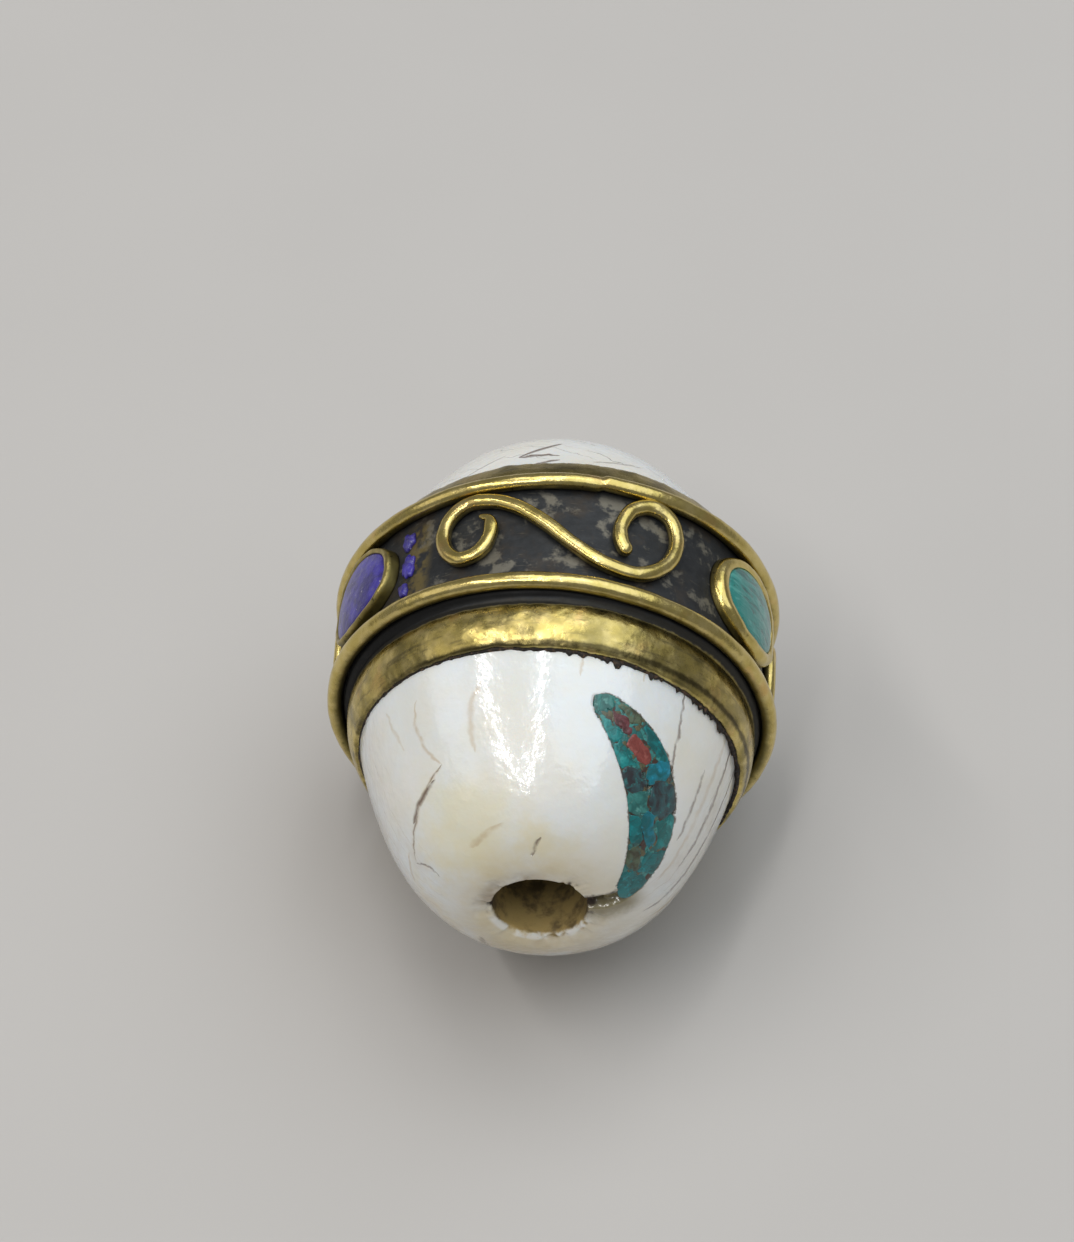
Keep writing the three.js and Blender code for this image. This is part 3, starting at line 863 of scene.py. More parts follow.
# Each line: the points it needs as [azimuth in degrees, place along the bead], half width, and strength.
DARK_LINES = (
    (((-45, -11.5), (-55, -12), (-65, -12.5)), 0.24, 0.85),
    (((-40, -11), (-55, -12), (-80, -13.5)), 0.11, 0.6),
    (((-80, -13.5), (-75, -14), (-75, -14.5)), 0.11, 0.65),
    (((0, -14.5), (-5, -15)), 0.16, 0.75),
    (((45, -6), (50, -11)), 0.16, 0.7),
    (((65, -9), (70, -12.5)), 0.20, 0.65),
    (((75, -6), (80, -10), (85, -13)), 0.24, 0.7),
    (((85, -6), (90, -10), (100, -14.5)), 0.26, 0.65),
    (((-135, -15), (-150, -14.5)), 0.34, 0.6),
)
TAN_LINES = (
    (((-45, -7.5), (-45, -10), (-40, -11)), 0.20, 0.45),
    (((-40, -11), (-55, -12), (-80, -13.5)), 0.26, 0.4),
    (((-80, -13), (-95, -13.5)), 0.20, 0.5),
    (((-60, -7), (-55, -9.5)), 0.18, 0.3),
    (((-20, -7.5), (-25, -9), (-25, -11)), 0.30, 0.35),
    (((-40, -14.5), (-20, -14)), 0.30, 0.4),
    (((30, -6), (30, -7)), 0.10, 0.5),
    (((10, -6.5), (10, -7.5)), 0.14, 0.4),
    (((105, -10), (110, -14)), 0.4, 0.55),
    (((70, -6), (75, -12), (80, -14)), 0.3, 0.3),
)

# Lines that run round the far cap: [place along the bead, azimuth in degrees], half width and strength.
FAR_LINES = (
    (((7, -15), (8.5, 0)), 0.24, 1.0),
    (((7, -15), (7, 0)), 0.18, 1.0),
    (((6, -10), (6.5, 0)), 0.18, 0.9),
    (((6.5, 10), (7.5, 30)), 0.10, 0.5),
    (((6, -35), (7.5, -20)), 0.10, 0.5),
    (((8, 150), (7, 170)), 0.14, 0.7),
)


def line_group():
    """A node group that draws one crack: azimuth as a cubic of the share of the way along the outline."""
    group = bpy.data.node_groups.new("shell_line", "ShaderNodeTree")
    names = ("Azimuth", "Arc", "Radius", "Start", "Length", "C0", "C1", "C2", "C3", "Width", "Strength")
    for name in names:
        group.interface.new_socket(name, in_out="INPUT", socket_type="NodeSocketFloat")
    group.interface.new_socket("Mask", in_out="OUTPUT", socket_type="NodeSocketFloat")
    source = group.nodes.new("NodeGroupInput").outputs
    sink = group.nodes.new("NodeGroupOutput").inputs[0]

    def calc(operation, *values):
        node = group.nodes.new("ShaderNodeMath")
        node.operation = operation
        for socket, value in zip(node.inputs, values):
            if isinstance(value, bpy.types.NodeSocket):
                group.links.new(value, socket)
            else:
                socket.default_value = value
        return node.outputs[0]

    share = calc("DIVIDE", calc("SUBTRACT", source["Arc"], source["Start"]), source["Length"])
    cubic = calc("MULTIPLY_ADD", share, source["C3"], source["C2"])
    cubic = calc("MULTIPLY_ADD", share, cubic, source["C1"])
    cubic = calc("MULTIPLY_ADD", share, cubic, source["C0"])
    slope = calc("MULTIPLY", calc("MULTIPLY", share, 3), source["C3"])
    slope = calc("MULTIPLY_ADD", share, calc("ADD", slope, calc("MULTIPLY", source["C2"], 2)), source["C1"])
    slope = calc("DIVIDE", calc("MULTIPLY", slope, source["Radius"]), source["Length"])
    lean = calc("SQRT", calc("MULTIPLY_ADD", slope, slope, 1))
    gap = calc("ABSOLUTE", calc("SUBTRACT", source["Azimuth"], cubic))
    gap = calc("DIVIDE", calc("MULTIPLY", gap, source["Radius"]), lean)
    taper = calc("MULTIPLY", calc("MULTIPLY", share, calc("SUBTRACT", 1, share)), 4)
    taper = calc("SQRT", calc("MAXIMUM", taper, 0))
    width = calc("MAXIMUM", calc("MULTIPLY", source["Width"], taper), 1e-4)
    mask = calc("MAXIMUM", calc("SUBTRACT", 1, calc("DIVIDE", gap, width)), 0)
    mask = calc("MULTIPLY", calc("MULTIPLY", mask, mask), calc("MULTIPLY_ADD", mask, -2, 3))
    strength = calc("MULTIPLY", source["Strength"], calc("MINIMUM", calc("MULTIPLY", taper, 2.5), 1))
    group.links.new(calc("MULTIPLY", mask, strength), sink)
    return group


def draw_lines(look, group, lines, azimuth, arc, radius, place_of):
    """The darkest of some cracks. place_of turns their second coordinates into the arc's."""
    result = 0.0
    for points, width, strength in lines:
        points = np.array(points)
        at = place_of(points[:, 1])
        start, length = at[0], at[-1] - at[0]
        degree = min(3, len(points) - 1)
        fit = np.polyfit((at - start) / length, points[:, 0], degree)[::-1]
        coefficients = [*fit, 0, 0, 0][:4]
        node = look.node("ShaderNodeGroup", output=None, node_tree=group)
        look.feed(node.inputs["Azimuth"], azimuth)
        look.feed(node.inputs["Arc"], arc)
        look.feed(node.inputs["Radius"], radius)
        for name, value in zip(("Start", "Length", "C0", "C1", "C2", "C3"), (start, length, *coefficients)):
            node.inputs[name].default_value = value
        node.inputs["Width"].default_value = width
        node.inputs["Strength"].default_value = strength
        result = look.math("MAXIMUM", node.outputs[0], result)
    return result


# ---- materials ------------------------------------------------------------------------------------------


CREAM_SPOT = (-3.6, -13.6, 4.6)  # middle of the yellowed patch


def shell_look():
    """Polished conch: milky white with cream clouds, growth layers, stained hairlines, and a bore with dirt,
    painted shade and a painted highlight on its lip.
    """
    look = Look("shell", Roughness=0.22, IOR=1.55, Coat_Weight=0.7, Coat_Roughness=0.07, Coat_IOR=1.6)
    look.set(Subsurface_Weight=0.25, Subsurface_Radius=(1.0, 0.8, 0.6), Subsurface_Scale=0.8 * MM)
    uv = look.node("ShaderNodeUVMap", uv_map="Wrap")
    split = look.node("ShaderNodeSeparateXYZ", None, {0: uv}, output=None)
    waver = look.math("SUBTRACT", look.noise(1.6, 3, shift=4.0), 0.5)
    azimuth = look.math(
        "ADD", split.outputs[0], look.math("DIVIDE", look.math("MULTIPLY", waver, 0.45), look.radius)
    )
    arc = look.math(
        "ADD", split.outputs[1],
        look.math("MULTIPLY", look.math("SUBTRACT", look.noise(1.3, 2, shift=9.0), 0.5), 0.3),
    )
    group = line_group()
    near = look.step(look.y, -1.0, 0.0, 1.0, 0.0)
    broken = look.step(look.noise(1.1, 3, 0.7, shift=37.0), 0.30, 0.55, 0.35, 1.0)
    degrees = look.math("MULTIPLY", azimuth, math.degrees(1))
    degree_length = look.math("MULTIPLY", look.radius, math.radians(1))
    dark = look.both(draw_lines(look, group, DARK_LINES, degrees, arc, degree_length, arc_at), near, broken)
    tan = look.both(draw_lines(look, group, TAN_LINES, degrees, arc, degree_length, arc_at), near, broken)
    place = look.math("ADD", look.y, look.math("MULTIPLY", waver, 0.4))
    far_line = draw_lines(look, group, FAR_LINES, place, degrees, 1.0, np.asarray)
    far_line = look.both(far_line, look.step(look.y, 4.0, 5.0))

    warm = look.patches(0.38, 0.62, 0.16, 2, shift=2.0)
    color = look.mix(warm, (0.81, 0.85, 0.87), (0.84, 0.83, 0.78))
    left_foot = look.both(look.step(look.y, -12.2, -14.2), look.step(look.x, 4.5, -1.0))
    cloud = look.math("MULTIPLY", look.patches(0.40, 0.68, 0.33, 4, 0.6, shift=13.0), 0.75)
    cream = look.math("MAXIMUM", look.both(cloud, left_foot), look.both(cloud, 0.25))
    color = look.tint(color, (0.80, 0.71, 0.45), cream)
    spot = look.node("ShaderNodeVectorMath", "DISTANCE", {0: look.point, 1: CREAM_SPOT}, 1)
    spot = look.math("ADD", spot, look.waver(3.0, 0.7, 4, 0.6, shift=51.0))
    color = look.tint(color, (0.83, 0.76, 0.50), look.step(spot, 3.8, 1.2), 0.6)
    mouth = look.step(look.radius, 5.6, 2.9)
    color = look.tint(color, (0.66, 0.55, 0.33), mouth, look.noise(0.9, 4, 0.6, shift=5.0))
    under = look.both(look.step(look.z, 0.0, -5.0), look.step(look.y, -8.0, -13.5))
    color = look.tint(
        color, (0.58, 0.47, 0.27), under, look.patches(0.3, 0.6, 0.5, 4, 0.6, shift=25.0), 0.7
    )

    layers = look.math(
        "MULTIPLY_ADD", azimuth, 26.0, look.math("MULTIPLY", look.noise(0.35, 3, shift=7.0), 5.0)
    )
    bands = look.math("ABSOLUTE", look.math("SINE", layers))
    side = look.step(look.math("ABSOLUTE", azimuth), 1.05, 1.5)
    side = look.both(side, look.step(look.radius, 4.2, 6.0))
    thin = look.both(look.step(bands, 0.12, 0.0), side, look.patches(0.42, 0.6, 0.5, 2, shift=21.0))
    color = look.tint(color, (0.36, 0.26, 0.16), thin, 0.5)
    broad = look.both(look.patches(0.45, 0.75, 0.6, 3, shift=31.0), side)
    color = look.tint(color, (0.62, 0.52, 0.38), broad, 0.35)

    far_lines = look.math("MULTIPLY_ADD", azimuth, 9.0, look.math("MULTIPLY", look.y, 3.0))
    far_lines = look.math("SINE", look.math("MULTIPLY_ADD", look.noise(0.5, 3, shift=17.0), 6.0, far_lines))
    far_mask = look.both(
        look.step(look.math("ABSOLUTE", far_lines), 0.07, 0.0), look.step(look.y, 5.0, 6.0)
    )
    far_mask = look.both(far_mask, look.patches(0.5, 0.6, 0.45, 2, shift=27.0))
    color = look.tint(color, (0.12, 0.07, 0.04), far_mask, 0.85)

    dark = look.math("MAXIMUM", dark, far_line)
    color = look.tint(color, (0.50, 0.33, 0.13), tan)
    color = look.tint(color, (0.11, 0.055, 0.028), dark)
    beside = look.node("ShaderNodeAttribute", output="Fac", attribute_name="beside_crescent")
    beside = look.math(
        "ADD", beside, look.math("MULTIPLY_ADD", look.noise(2.6, 4, 0.7, shift=47.0), 0.5, -0.30)
    )
    color = look.tint(color, (0.10, 0.065, 0.035), look.step(beside, -0.10, 0.0), 0.85)
    color = spill_dirt(look, color)
    color, inside = bore_grime_and_shade(look, color)
    look.set(Base_Color=color)
    rough = look.mix(inside, (0.22,) * 3, (0.75,) * 3)
    look.set(Roughness=rough, Coat_Weight=look.math("MULTIPLY_ADD", inside, -0.65, 0.7))
    grooves = look.math("SUBTRACT", 1.0, look.math("MAXIMUM", dark, far_mask))
    look.bump(
        (look.noise(0.8, 2, shift=3.0), 0.03), (look.noise(2.2, 2, 0.5, shift=8.0), 0.024), (grooves, 0.05)
    )
    return look.material


def spill_dirt(look, color):
    """Olive dirt in the groove from the crescent's foot to the bore, with a dark upper edge."""
    direction = outward(SPILL_AZIMUTH)
    beside = outward(SPILL_AZIMUTH + math.pi / 2)
    out = look.math(
        "MULTIPLY_ADD", look.x, float(direction[0]), look.math("MULTIPLY", look.z, float(direction[2]))
    )
    aside = look.math(
        "MULTIPLY_ADD", look.x, float(beside[0]), look.math("MULTIPLY", look.z, float(beside[2]))
    )
    aside = look.math("ADD", aside, look.waver(0.7, 1.8, 4, 0.6, shift=6.0))
    length = look.both(look.step(out, 1.8, 2.3), look.step(out, 5.6, 4.2))
    low = look.step(look.y, NEAR_END + 2.2, NEAR_END + 1.4)
    olive = look.both(look.step(aside, -0.75, -0.35), look.step(aside, 1.9, 0.6), length, low)
    color = look.tint(color, (0.20, 0.165, 0.065), olive, 0.9)
    edge = look.both(look.step(aside, -0.75, -0.45), look.step(aside, -0.1, -0.35), length, low)
    return look.mix(edge, color, (0.035, 0.028, 0.02))


def bore_grime_and_shade(look, color):
    """Dark brown and ochre dirt down the bore with painted shade on its upper side and deeper in, and a
    painted highlight on the chipped lower lip; returned with its mask.
    """
    ragged = look.waver(0.9, 2.4, 4, 0.6, shift=11.0)
    depth = look.math(
        "MINIMUM", look.math("SUBTRACT", look.y, NEAR_END), look.math("SUBTRACT", FAR_END, look.y)
    )
    edge = look.math("MULTIPLY_ADD", ragged, 0.5, depth)
    inside = look.both(look.step(look.radius, 3.0, 2.7), look.step(edge, 0.12, 0.32))
    # Painted light and shade over ochre dirt: near black on the bore's upper side, ochre on its lower side.
    low = look.step(look.math("ADD", look.z, ragged), 0.3, -1.7)
    grime_and_shade = look.mix(low, (0.020, 0.012, 0.008), (0.46, 0.33, 0.12))
    patches = look.patches(0.42, 0.62, 0.8, 4, 0.6, shift=15.0)
    grime_and_shade = look.tint(grime_and_shade, (0.07, 0.045, 0.022), patches, 0.75)
    # Painted shade: darker deeper into the bore.
    deep = look.step(look.y, NEAR_END + 2.0, NEAR_END + 9.0)
    grime_and_shade = look.tint(grime_and_shade, (0.03, 0.02, 0.012), deep, 0.85)
    # Painted shade, partly dirt: dark patches inside the upper lip of the mouth.
    lip = look.step(look.y, NEAR_END + 0.9, NEAR_END + 0.25)
    upper = look.step(look.z, -0.9, 0.1)
    grime_and_shade = look.tint(grime_and_shade, (0.04, 0.024, 0.014), lip, upper, look.patches(0.35, 0.5, 1.3, 3, shift=41.0))
    # Painted highlight, partly the clean white of fresh breaks: pale patches on the chipped lower lip of the
    # mouth.
    lip_white = look.both(
        look.step(look.radius, 2.85, 2.6), look.step(look.z, -0.6, -1.2), look.step(edge, 0.3, 0.1)
    )
    lip_white = look.both(
        lip_white, look.patches(0.36, 0.5, 1.2, 3, 0.6, shift=45.0), look.step(look.y, -5.0, -6.0)
    )
    halo = look.both(
        look.step(look.radius, 3.5, 2.7), look.step(look.x, 0.6, -1.2), look.step(look.z, -0.8, 0.4)
    )
    halo = look.both(halo, look.patches(0.35, 0.60, 0.8, 2, 0.5, shift=53.0), look.step(look.y, -5.0, -6.0))
    color = look.tint(color, (0.26, 0.17, 0.08), halo, 0.6)
    color = look.tint(color, (0.86, 0.85, 0.80), lip_white, 0.85)
    return look.mix(inside, color, grime_and_shade), inside


def brass_color(look, bright_share):
    """Brass from dull olive in its hollows to pale gold where it is worn bright, with coppery clouds. On the
    wires the bright share also paints a highlight along the crest.
    """
    cloud = look.patches(0.35, 0.7, 1.1, 4, 0.6, shift=3.0)
    color = look.mix(cloud, (0.60, 0.475, 0.15), (0.74, 0.60, 0.25))
    copper = look.patches(0.56, 0.72, 0.7, 3, shift=19.0)
    color = look.tint(color, (0.80, 0.44, 0.20), copper, 0.3)
    return look.mix(bright_share, (0.155, 0.13, 0.045), color)


def wire_look(name, low, high):
    """Brass wire: pale on its crest, partly from wear and partly a painted highlight, and dark where it meets
    the band, partly patina and partly painted shade.
    """
    look = Look(name, Metallic=1.0)
    height = look.math("SUBTRACT", look.radius, GROUND_RADIUS)
    height = look.math("ADD", height, look.waver(0.4, 1.5, 4, 0.6, shift=5.0))
    # Painted highlight, partly wear: the wire's colour brightens with height above the band and is palest
    # along the crest.
    bright_share = look.step(height, low, high)
    color = brass_color(look, bright_share)
    dark_tone = look.both(look.patches(0.60, 0.72, 3.2, 4, 0.65, shift=23.0), look.step(bright_share, 1.0, 0.5))
    color = look.tint(color, (0.03, 0.025, 0.015), dark_tone, 0.8)
    # Painted shade, partly dirt: near black at the wire's foot, where it meets the band.
    crease = look.step(look.math("SUBTRACT", look.radius, GROUND_RADIUS), 0.16, 0.02)
    color = look.tint(color, (0.018, 0.015, 0.01), crease)
    look.set(Base_Color=color)
    rough = look.math(
        "MULTIPLY_ADD", look.noise(2.2, 4, 0.6, shift=7.0), 0.22, look.step(bright_share, 0.0, 1.0, 0.34, 0.12)
    )
    look.set(Roughness=rough)
    look.bump((look.noise(1.4, 3, shift=2.0), 0.03), (look.noise(9.0, 3, 0.6, shift=4.0), 0.006))
    return look.material


def band_look():
    """The sheet: sooty oxidised ground between the wires with a painted shadow line along each wire's foot,
    worn mottled brass on both collars, and painted shade on the far collar.
    """
    look = Look("band")
    ragged = look.waver(0.3, 1.6, 4, 0.65, shift=5.0)
    place = look.math("ADD", look.math("ABSOLUTE", look.y), ragged)
    collar = look.step(place, 3.98, 4.16)
    mottle = look.noise(0.7, 3, 0.55, shift=9.0)
    bright_share = look.step(mottle, 0.30, 0.66, 0.35, 1.0)
    brass = brass_color(look, bright_share)
    streak = look.node("ShaderNodeVectorMath", "MULTIPLY", {0: look.point, 1: (0.5, 3.0, 0.5)})
    stain = look.patches(0.52, 0.70, 1.0, 4, 0.6, shift=14.0, vector=streak)
    brass = look.tint(brass, (0.10, 0.085, 0.05), stain, 0.55)
    rim = look.step(
        look.math("ADD", look.math("ABSOLUTE", look.math("ADD", look.y, 6.2)), ragged), 0.22, 0.05
    )
    brass = look.tint(brass, (0.02, 0.017, 0.012), rim, look.step(look.y, 0.0, -1.0), 0.75)

    # Painted shade: the far collar darkened toward dark olive from y 3.9 outward.
    brass = look.tint(brass, (0.10, 0.08, 0.03), look.step(look.y, 3.9, 4.6, 0.0, 0.45))

    dark_tone = look.mix(look.noise(1.3, 5, 0.65, shift=1.0), (0.008, 0.009, 0.011), (0.058, 0.062, 0.066))
    bare = look.both(look.patches(0.52, 0.62, 0.6, 5, 0.65, shift=12.0), look.step(place, 3.2, 2.4))
    dark_tone = look.tint(dark_tone, (0.22, 0.205, 0.165), bare, 0.8)
    brown = look.patches(0.50, 0.66, 0.5, 4, 0.6, shift=22.0)
    dark_tone = look.tint(dark_tone, (0.075, 0.052, 0.03), brown, 0.4)
    scratch = look.node("ShaderNodeVectorMath", "MULTIPLY", {0: look.point, 1: (1.0, 7.0, 1.0)})
    scratched = look.patches(0.66, 0.74, 1.2, 2, shift=33.0, vector=scratch)
    dark_tone = look.tint(dark_tone, (0.30, 0.27, 0.20), scratched, 0.18)
    scrape = look.both(
        look.step(look.azimuth, -0.80, -0.74), look.step(look.azimuth, -0.60, -0.68),
        look.step(place, 2.6, 1.8),
    )
    scrape = look.both(scrape, look.patches(0.40, 0.56, 1.0, 4, 0.6, shift=43.0))
    dark_tone = look.tint(dark_tone, (0.20, 0.15, 0.05), scrape, 0.8)
    channel = look.both(look.step(place, 3.68, 3.78), look.step(place, 4.2, 4.05))
    dark_tone = look.tint(dark_tone, (0.035, 0.033, 0.028), channel)
    # Painted shadow: a near-black line on the ground along the foot of each border wire.
    under = look.step(
        look.math("ABSOLUTE", look.math("SUBTRACT", look.math("ABSOLUTE", look.y), 3.42)), 0.34, 0.2
    )
    dark_tone = look.tint(dark_tone, (0.008, 0.008, 0.008), under)

    look.set(Base_Color=look.mix(collar, dark_tone, brass))
    look.set(Metallic=look.step(collar, 0.0, 1.0, 0.55, 1.0))
    grain = look.noise(3.0, 4, 0.6, shift=6.0)
    look.set(Roughness=look.math("MULTIPLY_ADD", grain, 0.25, look.step(collar, 0.0, 1.0, 0.42, 0.16)))
    look.bump((look.noise(0.9, 3, shift=2.0), 0.07), (look.noise(4.0, 3, 0.6, shift=4.0), 0.004))
    return look.material


def pitch_look():
    """Setting pitch: near black, granular, with brown crumbs."""
    look = Look("pitch", Roughness=0.75)
    crumbs = look.patches(0.5, 0.68, 4.5, 4, 0.7, shift=2.0)
    look.set(Base_Color=look.mix(crumbs, (0.018, 0.013, 0.010), (0.13, 0.075, 0.04)))
    look.bump((look.noise(6.0, 4, 0.6), 0.05))
    return look.material


def dust_look():
    """Crushed stone in dark resin: teal grains of many shades, brown and black between them."""
    look = Look("crescent_dust", Roughness=0.35, Coat_Weight=0.3, Coat_Roughness=0.1)
    swirl = look.node("ShaderNodeTexNoise", None, {"Vector": look.point, "Scale": 2.5}, 1)
    swirl = look.node("ShaderNodeVectorMath", "SCALE", {0: swirl, "Scale": 0.35})
    bent_point = look.node("ShaderNodeVectorMath", "ADD", {0: look.point, 1: swirl})
    tone = look.node(
        "ShaderNodeSeparateColor", None, {0: look.voronoi(3.6, output="Color", vector=bent_point)},
        output=None,
    )
    color = look.mix(look.step(tone.outputs[0], 0.2, 0.8), (0.018, 0.13, 0.125), (0.05, 0.27, 0.25))
    color = look.tint(color, (0.11, 0.10, 0.05), look.step(tone.outputs[1], 0.66, 0.72))
    color = look.tint(color, (0.06, 0.03, 0.022), look.step(tone.outputs[2], 0.78, 0.84))
    edges = look.voronoi(3.6, feature="DISTANCE_TO_EDGE", vector=bent_point)
    color = look.tint(color, (0.02, 0.045, 0.04), look.step(edges, 0.08, 0.01), 0.6)
    dirt = look.patches(0.54, 0.64, 1.4, 4, 0.6, shift=8.0)
    color = look.tint(color, (0.05, 0.028, 0.02), dirt, 0.7)
    look.set(Base_Color=color)
    look.bump((look.noise(5.0, 4, 0.6), 0.02), (edges, 0.02))
    return look.material


STONES = {
    "turquoise": ((0.014, 0.25, 0.25), (0.008, 0.12, 0.115), (0.05, 0.38, 0.36)),
    "pale_turquoise": ((0.055, 0.26, 0.235), (0.02, 0.12, 0.11), (0.14, 0.38, 0.34)),
    "blue_turquoise": ((0.008, 0.20, 0.27), (0.008, 0.11, 0.12), (0.02, 0.30, 0.46)),
    "deep_teal": ((0.006, 0.19, 0.20), (0.006, 0.09, 0.09), (0.012, 0.30, 0.33)),
    "slate": ((0.035, 0.10, 0.11), (0.03, 0.03, 0.035), (0.03, 0.20, 0.20)),
    "olive": ((0.10, 0.14, 0.085), (0.05, 0.045, 0.025), (0.05, 0.20, 0.17)),
    "coral": ((0.27, 0.065, 0.052), (0.17, 0.035, 0.03), (0.34, 0.11, 0.09)),
    "dark_red": ((0.15, 0.038, 0.045), (0.06, 0.015, 0.015), (0.22, 0.09, 0.10)),
}


def stone_look(name):
    """Polished opaque stone: cloudy body colour with darker matrix veins and paler grains."""
    body, dark, pale = STONES[name]
    look = Look(name, Roughness=0.3, Coat_Weight=0.2, Coat_Roughness=0.08)
    shift = 3.0 * list(STONES).index(name)
    clouds = look.patches(0.36, 0.66, 1.3, 4, 0.6, distortion=0.8, shift=shift)
    color = look.mix(clouds, dark, body)
    grains = look.patches(0.56, 0.68, 2.8, 3, 0.6, shift=shift + 1)
    color = look.mix(look.both(grains, 0.7), color, pale)
    veins = look.step(look.voronoi(1.4, feature="DISTANCE_TO_EDGE"), 0.035, 0.0)
    color = look.tint(
        color, (0.03, 0.02, 0.015), veins, 0.6, look.patches(0.45, 0.6, 1.0, 2, shift=shift + 2)
    )
    look.set(Base_Color=color)
    look.set(Roughness=look.math("MULTIPLY_ADD", look.noise(3.0, 3, shift=shift), 0.25, 0.22))
    look.bump((look.noise(2.4, 4, 0.6, shift=shift), 0.02), (clouds, 0.01))
    return look.material


def streaked_turquoise_look():
    """The turquoise inlay: teal with lighter and darker streaks aslant, and a few black flecks."""
    look = Look("turquoise_inlay", Roughness=0.3, Coat_Weight=0.5, Coat_Roughness=0.06)
    turned = look.node(
        "ShaderNodeMapping", None, {0: look.point, "Rotation": (0.0, 0.9, 0.7), "Scale": (0.9, 3.2, 0.9)}
    )
    streak = look.noise(0.8, 4, 0.6, distortion=0.6, shift=2.0, vector=turned)
    color = look.mix(look.step(streak, 0.34, 0.5), (0.010, 0.10, 0.095), (0.022, 0.235, 0.21))
    color = look.tint(color, (0.10, 0.40, 0.35), look.step(streak, 0.55, 0.68), 0.7)
    flecks = look.patches(0.64, 0.70, 3.4, 3, 0.6, shift=6.0)
    color = look.tint(color, (0.012, 0.03, 0.03), flecks)
    look.set(Base_Color=color)
    look.bump((streak, 0.05), (look.noise(3.0, 4, 0.6), 0.015))
    return look.material


def lapis_look():
    """Lapis: violet-blue with grey-blue grains and a soft polish."""
    look = Look("lapis", Roughness=0.38, Coat_Weight=0.35, Coat_Roughness=0.15)
    color = look.mix(look.patches(0.38, 0.62, 0.9, 4, 0.6), (0.022, 0.014, 0.15), (0.050, 0.035, 0.34))
    grey = look.patches(0.54, 0.70, 1.8, 4, 0.65, shift=5.0)
    color = look.tint(color, (0.11, 0.10, 0.22), grey, 0.5)
    color = look.tint(color, (0.30, 0.28, 0.36), look.patches(0.68, 0.74, 4.0, 2, shift=9.0))
    look.set(Base_Color=color)
    look.bump((look.noise(2.6, 4, 0.65, shift=1.0), 0.04))
    return look.material


def floor_look():
    look = Look("floor", Roughness=0.9)
    color = look.mix(look.noise(0.05, 2), (0.53, 0.51, 0.49), (0.56, 0.54, 0.52))
    look.set(Base_Color=color)
    return look.material


# ---- stage ----------------------------------------------------------------------------------------------

CAMERA_ELEVATION = math.radians(52.0)
CAMERA_AZIMUTH = math.radians(2.95)
CAMERA_DISTANCE = 257.0
CAMERA_LENS = 144.6
SENSOR_WIDTH = 36
CAMERA_OFFSET = (0.9066, 2.318)  # of the band's middle from the view's axis, right and down


def add_camera():
    """The photograph's view: above the near end, a little to the right."""
    azimuth, elevation = CAMERA_AZIMUTH, CAMERA_ELEVATION
    level = math.cos(elevation)
    back = Vector((math.sin(azimuth) * level, -math.cos(azimuth) * level, math.sin(elevation)))
    right = Vector((math.cos(azimuth), math.sin(azimuth), 0))
    up = back.cross(right)
    location = back * CAMERA_DISTANCE - right * CAMERA_OFFSET[0] + up * CAMERA_OFFSET[1] + Vector(
        (0, MIDDLE, 0)
    )
    data = bpy.data.cameras.new("camera")
    data.lens = CAMERA_LENS
    data.sensor_width = SENSOR_WIDTH
    data.clip_start = 0.01
    camera = bpy.data.objects.new("camera", data)
    camera.matrix_world = Matrix.Translation(location * MM) @ Matrix(
        (right, up, back)
    ).transposed().to_4x4()
    bpy.context.scene.collection.objects.link(camera)
    bpy.context.scene.camera = camera


def add_panel(name, first, second, width, radiance, color, distance=0.45):
    """A flat light that faces the bead, running between two directions from it."""
    ends = [Vector(direction).normalized() * distance for direction in (first, second)]
    middle = (ends[0] + ends[1]) / 2
    along = (ends[1] - ends[0]).normalized()
    facing = middle.normalized()
    side = facing.cross(along).normalized()
    facing = along.cross(side).normalized()
    data = bpy.data.lights.new(name, "AREA")
    data.shape = "RECTANGLE"
    data.size = (ends[1] - ends[0]).length
    data.size_y = width
    data.energy = radiance * math.pi * data.size * data.size_y
    data.color = color
    light = bpy.data.objects.new(name, data)
    light.matrix_world = Matrix.Translation(middle) @ Matrix((along, side, facing)).transposed().to_4x4()
    bpy.context.scene.collection.objects.link(light)


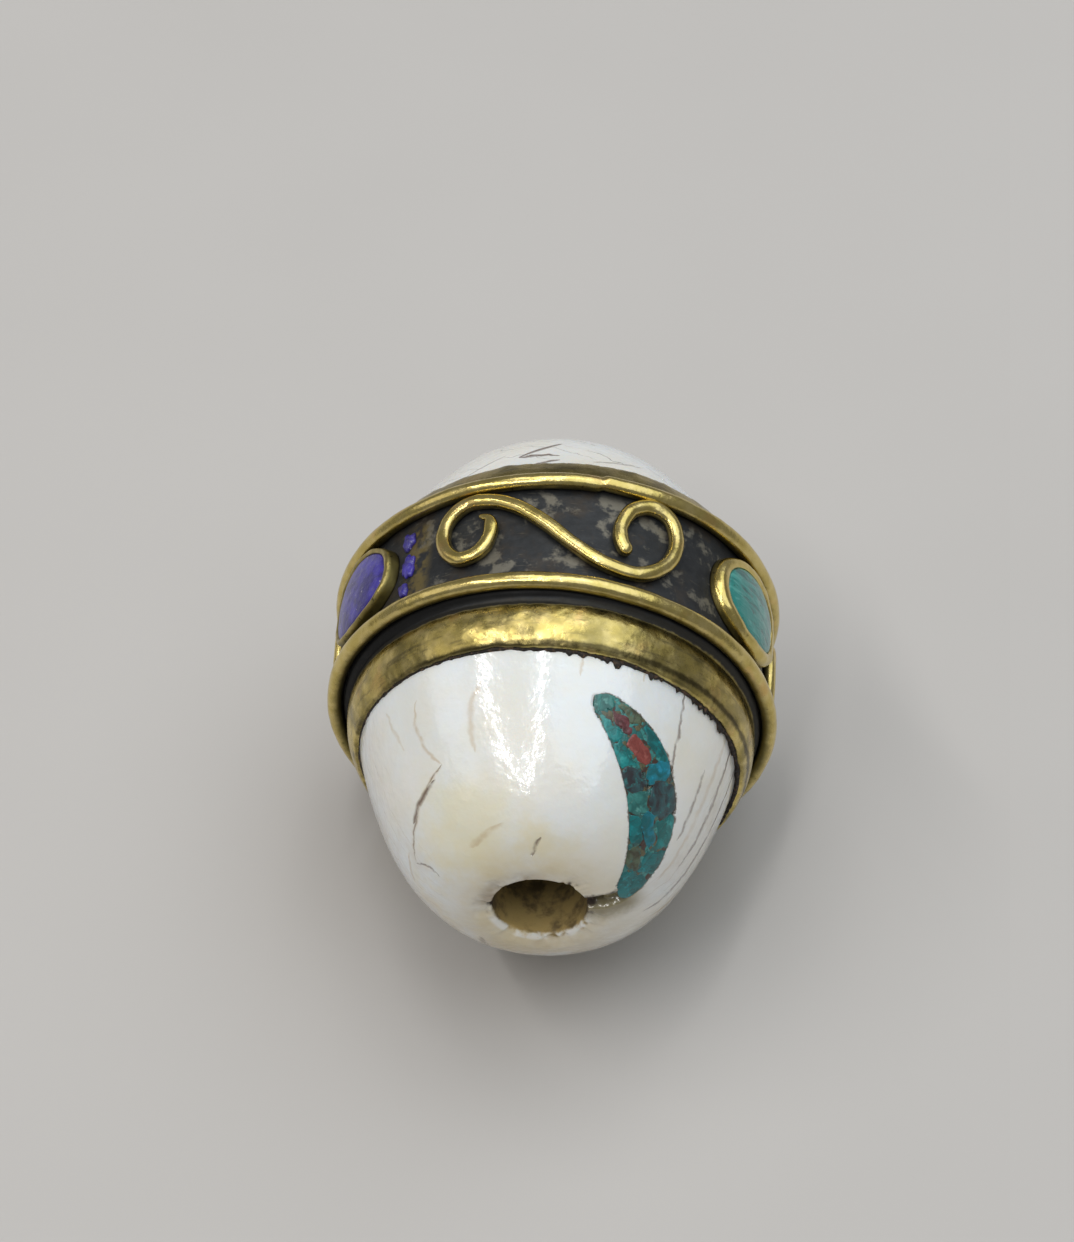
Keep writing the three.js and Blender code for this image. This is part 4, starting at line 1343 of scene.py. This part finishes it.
def add_lights():
    add_panel("right_strip", (-0.05, 0.14, 0.99), (-0.20, -0.58, 0.79), 0.017, 20.0, (1.0, 1.0, 1.0))
    add_panel("left_strip", (-0.62, 0.20, 0.76), (-0.27, -0.56, 0.79), 0.019, 17.0, (1.0, 0.98, 0.95))
    add_panel("cool_sky", (0.35, 0.75, 0.56), (0.30, -0.45, 0.84), 0.26, 1.3, (0.90, 0.96, 1.0))
    add_panel("warm_side", (-0.80, 0.45, 0.40), (-0.72, -0.40, 0.50), 0.14, 0.7, (1.0, 0.95, 0.88))
    add_panel("overhead", (-0.35, 0.30, 0.90), (0.20, 0.34, 0.93), 0.16, 2.4, (1.0, 0.99, 0.97))
    world = bpy.data.worlds.new("studio")
    world.use_nodes = True
    world.node_tree.nodes["Background"].inputs["Color"].default_value = (0.98, 0.99, 1.0, 1)
    world.node_tree.nodes["Background"].inputs["Strength"].default_value = 0.22
    bpy.context.scene.world = world


FLOOR_HALF = 1.5  # metres


def add_floor():
    half = FLOOR_HALF
    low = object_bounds()[0].z
    mesh = bpy.data.meshes.new("floor")
    mesh.from_pydata(
        [(-half, -half, low), (half, -half, low), (half, half, low), (-half, half, low)], [], [(0, 1, 2, 3)]
    )
    mesh.materials.append(floor_look())
    floor = bpy.data.objects.new("floor", mesh)
    bpy.context.scene.collection.objects.link(floor)


# ---- the bead -------------------------------------------------------------------------------------------

add_camera()
pitch = pitch_look()
add_shell(shell_look())
add_band(band_look())
add_pitch(pitch)
add_border_wire("near_rim_wire", -1, wire_look("near_wire", 0.2, 0.74), 0.88)
add_border_wire("far_rim_wire", 1, wire_look("far_wire", 0.2, 0.72), 0.84, splice=math.radians(11.5))
scroll = wire_look("scroll_wire", 0.12, 0.56)
lower = (SPREAD + math.pi) / 2
add_scroll("top_scroll", 0.0, scroll, 100)
add_scroll("right_scroll", lower, scroll, 110)
add_scroll("left_scroll", -lower, scroll, 120)
stones = {name: stone_look(name) for name in STONES}
bezel = wire_look("bezel", 0.0, 0.55)
lapis = lapis_look()
dull_bezel = wire_look("dull_bezel", 0.45, 1.0)
add_setting("turquoise", bezel, streaked_turquoise_look())
add_setting("lapis", dull_bezel, lapis)
add_setting("coral", bezel, stones["coral"])
add_crumbs(lapis)
add_chips(stones)
add_binder(dust_look())
for bed in ("turquoise_bed", "lapis_bed", "coral_bed"):
    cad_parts[bed].data.materials.clear()
    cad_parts[bed].data.materials.append(pitch)

add_floor()
add_lights()
bpy.context.scene.view_settings.view_transform = "Standard"
